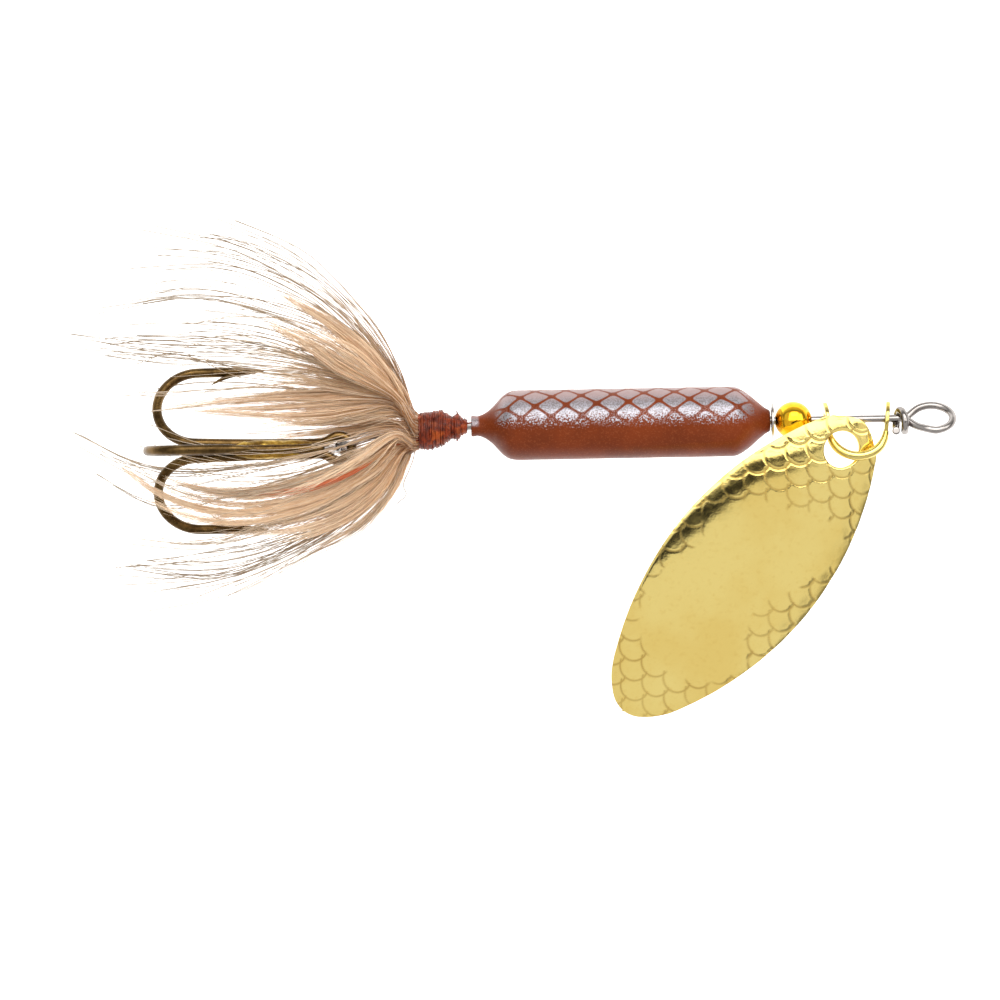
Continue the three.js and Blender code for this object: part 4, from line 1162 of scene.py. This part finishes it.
def tuft(shape, theta, spread, path, widths, count, fingers, seed, thick=0.2, radius=0.029, length=(0.72, 1.0), curl=0.5, pale=0.0, stem=0.0, tint=(0.0, 1.0), rho=(0.45, 0.95), start=0.0):
    g = np.random.default_rng(seed)
    P = np.array([[*from_px(a, b_), z_] for a, b_, z_ in path])
    W_ = np.array(widths, float) / PX
    fc = np.sort(g.uniform(-1, 1, fingers)) * 0.35 + np.linspace(-1, 1, fingers) * 0.7 if fingers > 1 else np.zeros(1)
    f_len = g.uniform(length[0], length[1], fingers)
    f_side = g.normal(0, curl, fingers)
    f_up = g.normal(0, curl * 0.5, fingers)
    m = 17
    tt = np.linspace(0, 1, m)
    for _ in range(int(count * 1.4)):
        u_ = g.uniform(-1, 1)
        fi = int(np.argmin(np.abs(fc - u_ - g.normal(0, 0.08))))
        th = rad(theta + spread * (u_ * 0.8 + g.normal(0, 0.25)))
        ro = g.uniform(*rho)
        d = vec(0, math.cos(th), math.sin(th))
        root = ROOT + d * ro * vec(1, 1, 0.95)
        near = root + vec(-0.5, 0, 0) + d * g.uniform(0.14, 0.42)
        line_ = np.vstack([root, near, P])
        n_ = len(line_)
        L = f_len[fi] * (1 - 0.42 * g.random() ** 1.4)
        par = tt * (n_ - 1) * L
        C_ = catmull(line_, par)
        T_ = tangents(C_)
        side = unit(np.cross(vec(0, 0, 1), T_))
        w_ = np.interp(par, np.arange(n_), np.concatenate([[0, 0.02], W_]))
        s_ = tt
        pull = np.clip((s_ - 0.5) / 0.45, 0, 1) ** 1.5 * 0.8
        lat = w_ * (u_ * (1 - pull) + fc[fi] * pull)
        lat = lat + f_side[fi] * s_**3 * 0.6 + g.normal(0, 0.11) * s_ + 0.045 * np.sin(s_ * g.uniform(4, 11) + g.uniform(0, 6))
        if g.random() < 0.07:
            lat = lat + g.normal(0, 0.35) * s_**2.5
        upw = g.normal(0, thick) * np.clip(s_ * 2.5, 0, 1) * (1 - 0.4 * s_) + f_up[fi] * s_**3 * 0.5
        C_ = C_ + side * lat[:, None]
        C_[:, 2] += upw
        C_[:, 2] = np.maximum(C_[:, 2], TABLE_Z + radius + 0.015)
        r_ = radius * g.uniform(0.75, 1.2) * (1 - 0.82 * s_**2.2) * np.clip(0.55 + s_ * 3, 0, 1)
        T_, N_, B_ = frames(C_)
        V, F = rings(C_, N_, B_, r_, r_, 4)
        al = np.concatenate([np.repeat(start + (1 - start) * s_, 4), [0, 1]])
        shape.add(V, F, along=al, tint=g.uniform(*tint), pale=pale, stem=stem)


def hairs(shape, theta, guides, count, seed, radius=0.03, pale=0.75, rho=(0.5, 0.95), spread=14, length=(0.7, 1.0), sag=0.0):
    """Loose hair-thin barbs, each between the lines of two neighbouring guides."""
    g = np.random.default_rng(seed)
    G = [np.array([[*from_px(a, b_), z_] for a, b_, z_ in gd]) for gd in guides]
    m = 24
    tt = np.linspace(0, 1, m)
    for _ in range(count):
        w = g.uniform(0, len(G) - 1)
        i_ = min(int(w), len(G) - 2)
        P = lerp(G[i_], G[i_ + 1], w - i_)
        P = P + g.normal(0, 0.13, P.shape) * np.linspace(0.3, 2.0, len(P))[:, None] * [1, 1, 0.7]
        th = rad(theta[0] + (theta[1] - theta[0]) * w / (len(G) - 1) + g.normal(0, spread))
        d = vec(0, math.cos(th), math.sin(th))
        root = ROOT + d * g.uniform(*rho)
        near = root + vec(-0.45, 0, 0) + d * g.uniform(0.2, 0.5)
        C_ = catmull(np.vstack([root, near, P]), tt * (len(P) + 1) * g.uniform(*length))
        C_[:, 2] = np.maximum(C_[:, 2], TABLE_Z + radius + 0.015)
        r_ = radius * g.uniform(0.75, 1.25) * (1 - 0.12 * tt**2)
        T_, N_, B_ = frames(C_)
        V, F = rings(C_, N_, B_, r_, r_, 3)
        al = np.concatenate([np.repeat(tt, 3), [0, 1]])
        shape.add(V, F, along=al, tint=g.uniform(0.3, 1.0), pale=np.clip(al * 1.3, 0, 1) * pale, stem=0.0)


feathers = [Shape() for _ in range(9)]
F1, F2, F3, F4, F5, F6, F7, F8, F9 = feathers

# 1: the tuft that stands furthest towards +Y, with the long arcs beyond it
tuft(F1, 22, 20, [(403, 395, 0.9), (379, 368, 1.4), (352, 342, 1.8), (324, 320, 2.1), (283, 296, 2.3)], [3.5, 8, 9, 6, 1], 260, 4, 101, thick=0.16, length=(0.86, 1.06), curl=0.2)
tuft(F1, 8, 16, [(404, 396, 0.4), (388, 373, 0.8), (368, 350, 1.2), (344, 328, 1.4), (312, 302, 1.6)], [2.5, 5, 6, 5, 4], 70, 4, 102, thick=0.15, length=(0.55, 1.0), tint=(0.0, 0.6))
hairs(F1, (10, 40), [
    [(404, 378, 0.8), (385, 338, 1.6), (360, 300, 2.3), (325, 255, 2.9), (270, 206, 3.2)],
    [(402, 380, 0.9), (372, 328, 1.7), (330, 282, 2.4), (275, 245, 2.9), (190, 222, 3.2)],
    [(400, 384, 0.8), (362, 332, 1.5), (305, 285, 2.2), (235, 250, 2.7), (150, 238, 3.0)],
    [(398, 388, 0.8), (350, 336, 1.4), (285, 292, 2.0), (210, 266, 2.5), (125, 280, 2.8)],
], 24, 103, length=(0.85, 1.0))
hairs(F1, (10, 50), [
    [(404, 380, 0.8), (380, 335, 1.6), (350, 292, 2.2), (318, 262, 2.6), (290, 238, 2.8)],
    [(398, 388, 0.8), (352, 338, 1.4), (310, 305, 2.0), (270, 280, 2.5), (225, 262, 2.8)],
], 10, 104, radius=0.026, pale=0.4, length=(0.6, 1.0))

hairs(F1, (15, 60), [
    [(403, 384, 0.9), (368, 330, 1.7), (318, 282, 2.4), (252, 248, 2.9), (160, 232, 3.2)],
    [(400, 388, 0.8), (352, 338, 1.5), (290, 306, 2.1), (205, 286, 2.6), (92, 299, 2.9)],
    [(398, 390, 0.8), (345, 345, 1.4), (278, 322, 1.9), (190, 306, 2.3), (87, 332, 2.5)],
], 24, 105, length=(0.9, 1.0))

# 2: the tuft above the hook, nearest the eye of anyone looking down
tuft(F2, 62, 26, [(399, 400, 1.7), (374, 381, 2.9), (346, 364, 3.9), (318, 346, 4.5), (274, 326, 5.0)], [3, 8, 11.5, 9, 2], 300, 5, 201, thick=0.22, length=(0.84, 1.05), curl=0.3)
tuft(F2, 50, 22, [(400, 398, 1.5), (380, 374, 2.5), (356, 352, 3.2), (330, 338, 3.7), (300, 318, 4.0)], [2.5, 6, 7, 6, 4], 130, 5, 202, thick=0.2, length=(0.6, 0.95), tint=(0.0, 0.7))
hairs(F2, (50, 85), [
    [(396, 392, 2.0), (345, 348, 3.4), (285, 318, 4.4), (215, 300, 5.0), (130, 310, 5.3)],
    [(394, 396, 2.0), (335, 362, 3.6), (265, 338, 4.6), (185, 330, 5.2), (95, 340, 5.4)],
    [(392, 400, 2.0), (330, 374, 3.6), (255, 358, 4.6), (170, 352, 5.2), (75, 345, 5.4)],
], 24, 203, length=(0.8, 1.0))
hairs(F2, (50, 85), [
    [(396, 392, 2.0), (350, 352, 3.4), (300, 328, 4.4), (245, 316, 5.0), (190, 322, 5.3)],
    [(392, 400, 2.0), (335, 372, 3.6), (275, 352, 4.6), (215, 345, 5.2), (150, 362, 5.4)],
], 12, 204, radius=0.026, pale=0.35, length=(0.6, 1.0))

hairs(F2, (60, 100), [
    [(398, 396, 2.0), (342, 362, 3.4), (270, 346, 4.4), (180, 348, 5.0), (75, 336, 5.2)],
    [(396, 400, 2.0), (336, 376, 3.4), (262, 366, 4.4), (170, 362, 5.0), (70, 346, 5.2)],
    [(396, 402, 2.0), (332, 386, 3.4), (255, 380, 4.4), (180, 356, 5.0), (128, 380, 5.2)],
], 18, 205, length=(0.9, 1.0))

# 3: the broad middle tuft on the +Y side of the shank
tuft(F3, 26, 26, [(392, 403, 0.9), (362, 401, 1.4), (330, 402, 1.8), (285, 404, 2.0), (228, 407, 2.1), (160, 412, 2.2)], [3.5, 12, 19, 21, 15, 6], 560, 9, 301, thick=0.3, length=(0.6, 1.0), curl=0.35)
tuft(F3, 50, 20, [(394, 398, 1.2), (366, 388, 2.0), (336, 380, 2.6), (300, 374, 3.0), (250, 372, 3.3)], [2.5, 7, 9, 8, 5], 170, 6, 302, thick=0.22, length=(0.62, 1.0), curl=0.4)
tuft(F3, 8, 16, [(394, 414, 0.5), (366, 414, 0.8), (334, 416, 1.0), (300, 416, 1.1), (262, 412, 1.2)], [2.5, 7, 10, 10, 7], 200, 7, 303, thick=0.2, length=(0.6, 1.0), tint=(0.0, 0.75))
hairs(F3, (25, 55), [
    [(392, 400, 1.2), (330, 378, 2.2), (265, 366, 2.8), (190, 362, 3.1), (100, 372, 3.2)],
    [(392, 404, 1.0), (330, 392, 1.8), (260, 386, 2.4), (180, 392, 2.7), (90, 400, 2.8)],
    [(392, 408, 0.8), (330, 402, 1.5), (255, 404, 2.0), (170, 414, 2.3), (85, 420, 2.4)],
], 26, 304, radius=0.024, pale=0.5)

tuft(F3, 58, 18, [(398, 398, 1.6), (364, 380, 2.6), (322, 366, 3.2), (268, 356, 3.6), (206, 352, 3.8)], [2.5, 6, 7, 7, 5], 46, 5, 305, thick=0.2, length=(0.6, 1.0), curl=0.5, tint=(0.2, 1.0))
tuft(F3, 16, 12, [(396, 410, 0.8), (356, 410, 1.2), (300, 412, 1.5), (236, 418, 1.6), (170, 408, 1.7)], [2.5, 6, 8, 8, 5], 60, 5, 306, thick=0.15, length=(0.7, 1.0), curl=0.5, tint=(0.2, 1.0))

# 4: lies low on the +Y side, under the others
tuft(F4, -14, 22, [(396, 398, -0.3), (370, 384, -0.9), (338, 366, -1.4), (298, 348, -1.8), (250, 334, -2.0)], [2.5, 7, 9, 8, 4], 170, 7, 401, thick=0.12, length=(0.5, 1.0), curl=0.5, tint=(0.0, 0.8))
hairs(F4, (-25, 5), [
    [(396, 396, -0.4), (355, 360, -1.2), (300, 330, -1.8), (235, 308, -2.0), (160, 300, -2.1)],
    [(394, 402, -0.4), (345, 380, -1.2), (285, 362, -1.8), (215, 352, -2.0), (130, 362, -2.1)],
    [(394, 406, -0.4), (340, 396, -1.2), (275, 386, -1.8), (200, 384, -2.0), (115, 398, -2.1)],
], 12, 402)

# 5: under the shank
tuft(F5, -62, 26, [(393, 424, -1.2), (362, 428, -1.8), (328, 432, -2.0), (285, 436, -2.1), (236, 442, -2.1)], [3, 8, 11, 12, 8], 220, 7, 501, thick=0.1, length=(0.6, 1.0), curl=0.35, tint=(0.3, 1.0))
hairs(F5, (-80, -40), [
    [(393, 420, -1.2), (330, 424, -1.9), (255, 426, -2.1), (170, 418, -2.1), (95, 408, -2.1)],
    [(393, 430, -1.2), (330, 440, -1.9), (255, 450, -2.1), (170, 452, -2.1), (80, 440, -2.1)],
    [(393, 436, -1.2), (330, 456, -1.9), (255, 474, -2.1), (170, 478, -2.1), (85, 462, -2.1)],
], 11, 502, radius=0.024, pale=0.55)

hairs(F5, (-100, -60), [
    [(394, 430, -1.2), (330, 446, -1.9), (250, 462, -2.1), (150, 466, -2.1), (62, 424, -2.1)],
    [(394, 434, -1.2), (332, 462, -1.9), (258, 490, -2.1), (165, 510, -2.1), (78, 468, -2.1)],
], 16, 503, length=(0.9, 1.0))

# 6: the outer edge towards -Y, down to loose strands
tuft(F6, -150, 22, [(407, 452, -0.8), (390, 482, -1.5), (362, 514, -1.8), (326, 535, -2.0), (284, 562, -2.1)], [3, 7, 8, 5, 3], 190, 4, 601, thick=0.12, length=(0.78, 1.0), curl=0.3, tint=(0.35, 1.0))
hairs(F6, (-165, -140), [
    [(408, 458, -0.9), (392, 494, -1.5), (362, 528, -1.8), (310, 556, -2.0), (236, 598, -2.1)],
    [(404, 456, -0.9), (380, 496, -1.5), (345, 532, -1.8), (285, 562, -2.0), (190, 606, -2.1)],
    [(402, 456, -0.9), (374, 496, -1.5), (330, 534, -1.8), (255, 566, -2.0), (150, 590, -2.1)],
    [(400, 454, -0.9), (366, 494, -1.5), (315, 530, -1.8), (230, 560, -2.0), (120, 560, -2.1)],
    [(400, 452, -0.9), (360, 490, -1.5), (305, 525, -1.8), (215, 548, -2.0), (90, 530, -2.1)],
], 28, 602, length=(0.75, 1.0), pale=0.55)

hairs(F6, (-165, -140), [
    [(404, 456, -0.8), (372, 500, -1.6), (318, 542, -1.9), (240, 588, -2.1), (122, 618, -2.1)],
    [(402, 456, -0.8), (366, 498, -1.6), (308, 538, -1.9), (222, 572, -2.1), (96, 560, -2.1)],
    [(400, 454, -0.8), (360, 494, -1.6), (300, 528, -1.9), (200, 548, -2.1), (60, 574, -2.1)],
], 26, 603, length=(0.9, 1.0))

# 7: the big tuft towards -Y
tuft(F7, -142, 30, [(399, 452, -0.1), (376, 478, 0.2), (344, 500, 0.4), (298, 516, 0.5), (240, 524, 0.5), (172, 528, 0.5)], [4, 14, 21, 24, 19, 8], 760, 9, 701, thick=0.34, length=(0.62, 1.0), curl=0.32)
tuft(F7, -160, 20, [(398, 446, 0.4), (372, 468, 0.8), (336, 488, 1.0), (292, 502, 1.1), (232, 512, 1.1)], [3, 9, 11, 11, 7], 260, 6, 702, thick=0.22, length=(0.62, 1.0), curl=0.35, tint=(0.2, 1.0))
hairs(F7, (-160, -130), [
    [(398, 450, 0.2), (360, 490, 0.5), (300, 525, 0.6), (215, 552, 0.6), (105, 548, 0.5)],
    [(398, 446, 0.4), (352, 480, 0.8), (285, 508, 1.0), (200, 536, 1.0), (110, 512, 0.9)],
], 24, 703, radius=0.024, pale=0.5)

# 8: the long tuft that crosses the lower hook and turns up at its tip
tuft(F8, 178, 16, [(396, 440, 1.0), (362, 462, 1.3), (312, 482, 1.5), (250, 494, 1.6), (196, 488, 1.6), (160, 476, 1.6)], [3, 6, 7, 6, 4, 2], 190, 3, 801, thick=0.16, length=(0.8, 1.0), curl=0.2)
tuft(F8, 190, 14, [(396, 444, 0.6), (366, 470, 0.9), (318, 498, 1.1), (236, 514, 1.2), (160, 494, 1.2), (113, 458, 1.2)], [3, 6, 7, 10, 10, 1.5], 260, 3, 802, thick=0.14, length=(0.85, 1.0), curl=0.15, tint=(0.1, 0.9))
tuft(F8, 184, 3, [(396, 442, 0.9), (360, 468, 1.45), (322, 485, 1.75), (285, 493, 1.8), (250, 498, 1.8)], [0.6, 0.8, 1.0, 1.4, 1.2], 14, 1, 803, thick=0.05, radius=0.05, length=(0.93, 1.0), stem=0.85, curl=0.05)
hairs(F8, (165, 200), [
    [(396, 436, 1.2), (345, 452, 1.7), (280, 462, 2.0), (205, 452, 2.1), (120, 432, 2.0)],
    [(396, 438, 1.2), (345, 458, 1.7), (280, 476, 2.0), (200, 470, 2.1), (105, 448, 2.0)],
    [(396, 442, 1.0), (345, 468, 1.5), (275, 492, 1.8), (190, 500, 1.9), (75, 430, 1.8)],
], 22, 804, radius=0.024, pale=0.5)

# 9: over the lower side, with the barbs that cross the hook's eye
tuft(F9, 150, 22, [(396, 436, 2.0), (368, 454, 2.7), (334, 474, 3.2), (290, 492, 3.6), (240, 510, 3.8)], [2.5, 5, 6, 6, 4], 90, 5, 901, thick=0.25, length=(0.5, 1.0), curl=0.5, tint=(0.4, 1.0))
hairs(F9, (95, 140), [
    [(396, 424, 2.0), (372, 424, 2.7), (350, 428, 3.1), (322, 436, 3.3), (300, 444, 3.4)],
    [(396, 430, 2.0), (370, 436, 2.7), (345, 446, 3.1), (318, 456, 3.3), (290, 462, 3.4)],
    [(396, 436, 1.9), (372, 448, 2.6), (345, 464, 3.0), (312, 480, 3.3), (275, 496, 3.4)],
], 9, 902, radius=0.034, pale=0.25, length=(0.45, 1.0))
hairs(F9, (110, 150), [
    [(396, 428, 2.0), (350, 434, 3.2), (290, 440, 4.0), (215, 432, 4.3), (140, 415, 4.4)],
    [(396, 436, 2.0), (350, 456, 3.2), (285, 480, 4.0), (210, 490, 4.3), (130, 470, 4.4)],
    [(396, 442, 2.0), (345, 474, 3.2), (280, 510, 4.0), (200, 530, 4.3), (120, 520, 4.4)],
], 12, 903, radius=0.024, pale=0.55)


def fuzz(shape, a0, a1, count, seed):
    """Short broken barbs that stand about the tied root."""
    g = np.random.default_rng(seed)
    for _ in range(count):
        th = rad(g.uniform(a0, a1))
        d = vec(0, math.cos(th), math.sin(th))
        side = vec(0, -math.sin(th), math.cos(th)) * g.choice([-1, 1])
        p = ROOT + vec(-0.45 - g.uniform(0, 0.3), 0, 0) + d * g.uniform(0.75, 1.0)
        l = g.uniform(0.7, 2.4)
        q1 = p + (vec(-0.45, 0, 0) + d * 0.35 + side * g.uniform(-0.2, 0.5)) * l * 0.5
        q2 = q1 + (vec(-0.5, 0, 0) + d * g.uniform(-0.1, 0.5) + side * g.uniform(-0.1, 0.8)) * l * 0.5
        C_ = smooth([p - d * 0.15 + vec(0.4, 0, 0), p, q1, q2], 9)
        C_[:, 2] = np.maximum(C_[:, 2], TABLE_Z + 0.05)
        T_, N_, B_ = frames(C_)
        tt = np.linspace(0, 1, len(C_))
        r_ = 0.03 * g.uniform(0.7, 1.1) * (1 - 0.75 * tt)
        V, F = rings(C_, N_, B_, r_, r_, 4)
        shape.add(V, F, along=np.concatenate([np.repeat(tt * 0.45, 4), [0, 0.45]]), tint=g.uniform(), pale=0.0, stem=0.0)


fuzz(F1, -20, 30, 30, 111)
fuzz(F2, 30, 100, 60, 112)
fuzz(F9, 90, 170, 60, 113)
fuzz(F7, 170, 230, 30, 114)
fuzz(F5, 240, 320, 24, 115)
hairs(F6, (-172, -168), [
    [(413, 460, -0.2), (409, 472, -0.5), (405, 484, -0.8), (402, 493, -1.0), (399, 503, -1.2)],
    [(413, 461, -0.2), (409, 473, -0.5), (405, 485, -0.8), (401, 495, -1.0), (398, 505, -1.2)],
], 1, 116, radius=0.034, pale=1.0, length=(0.98, 1.0))

for i_, s_ in enumerate(feathers):
    ob = s_.build(f"hackle_tuft_{i_ + 1}", hackle_mat.mat, None, (), None)
    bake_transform(ob)
    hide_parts(f"hackle_feather_{i_ + 1}")
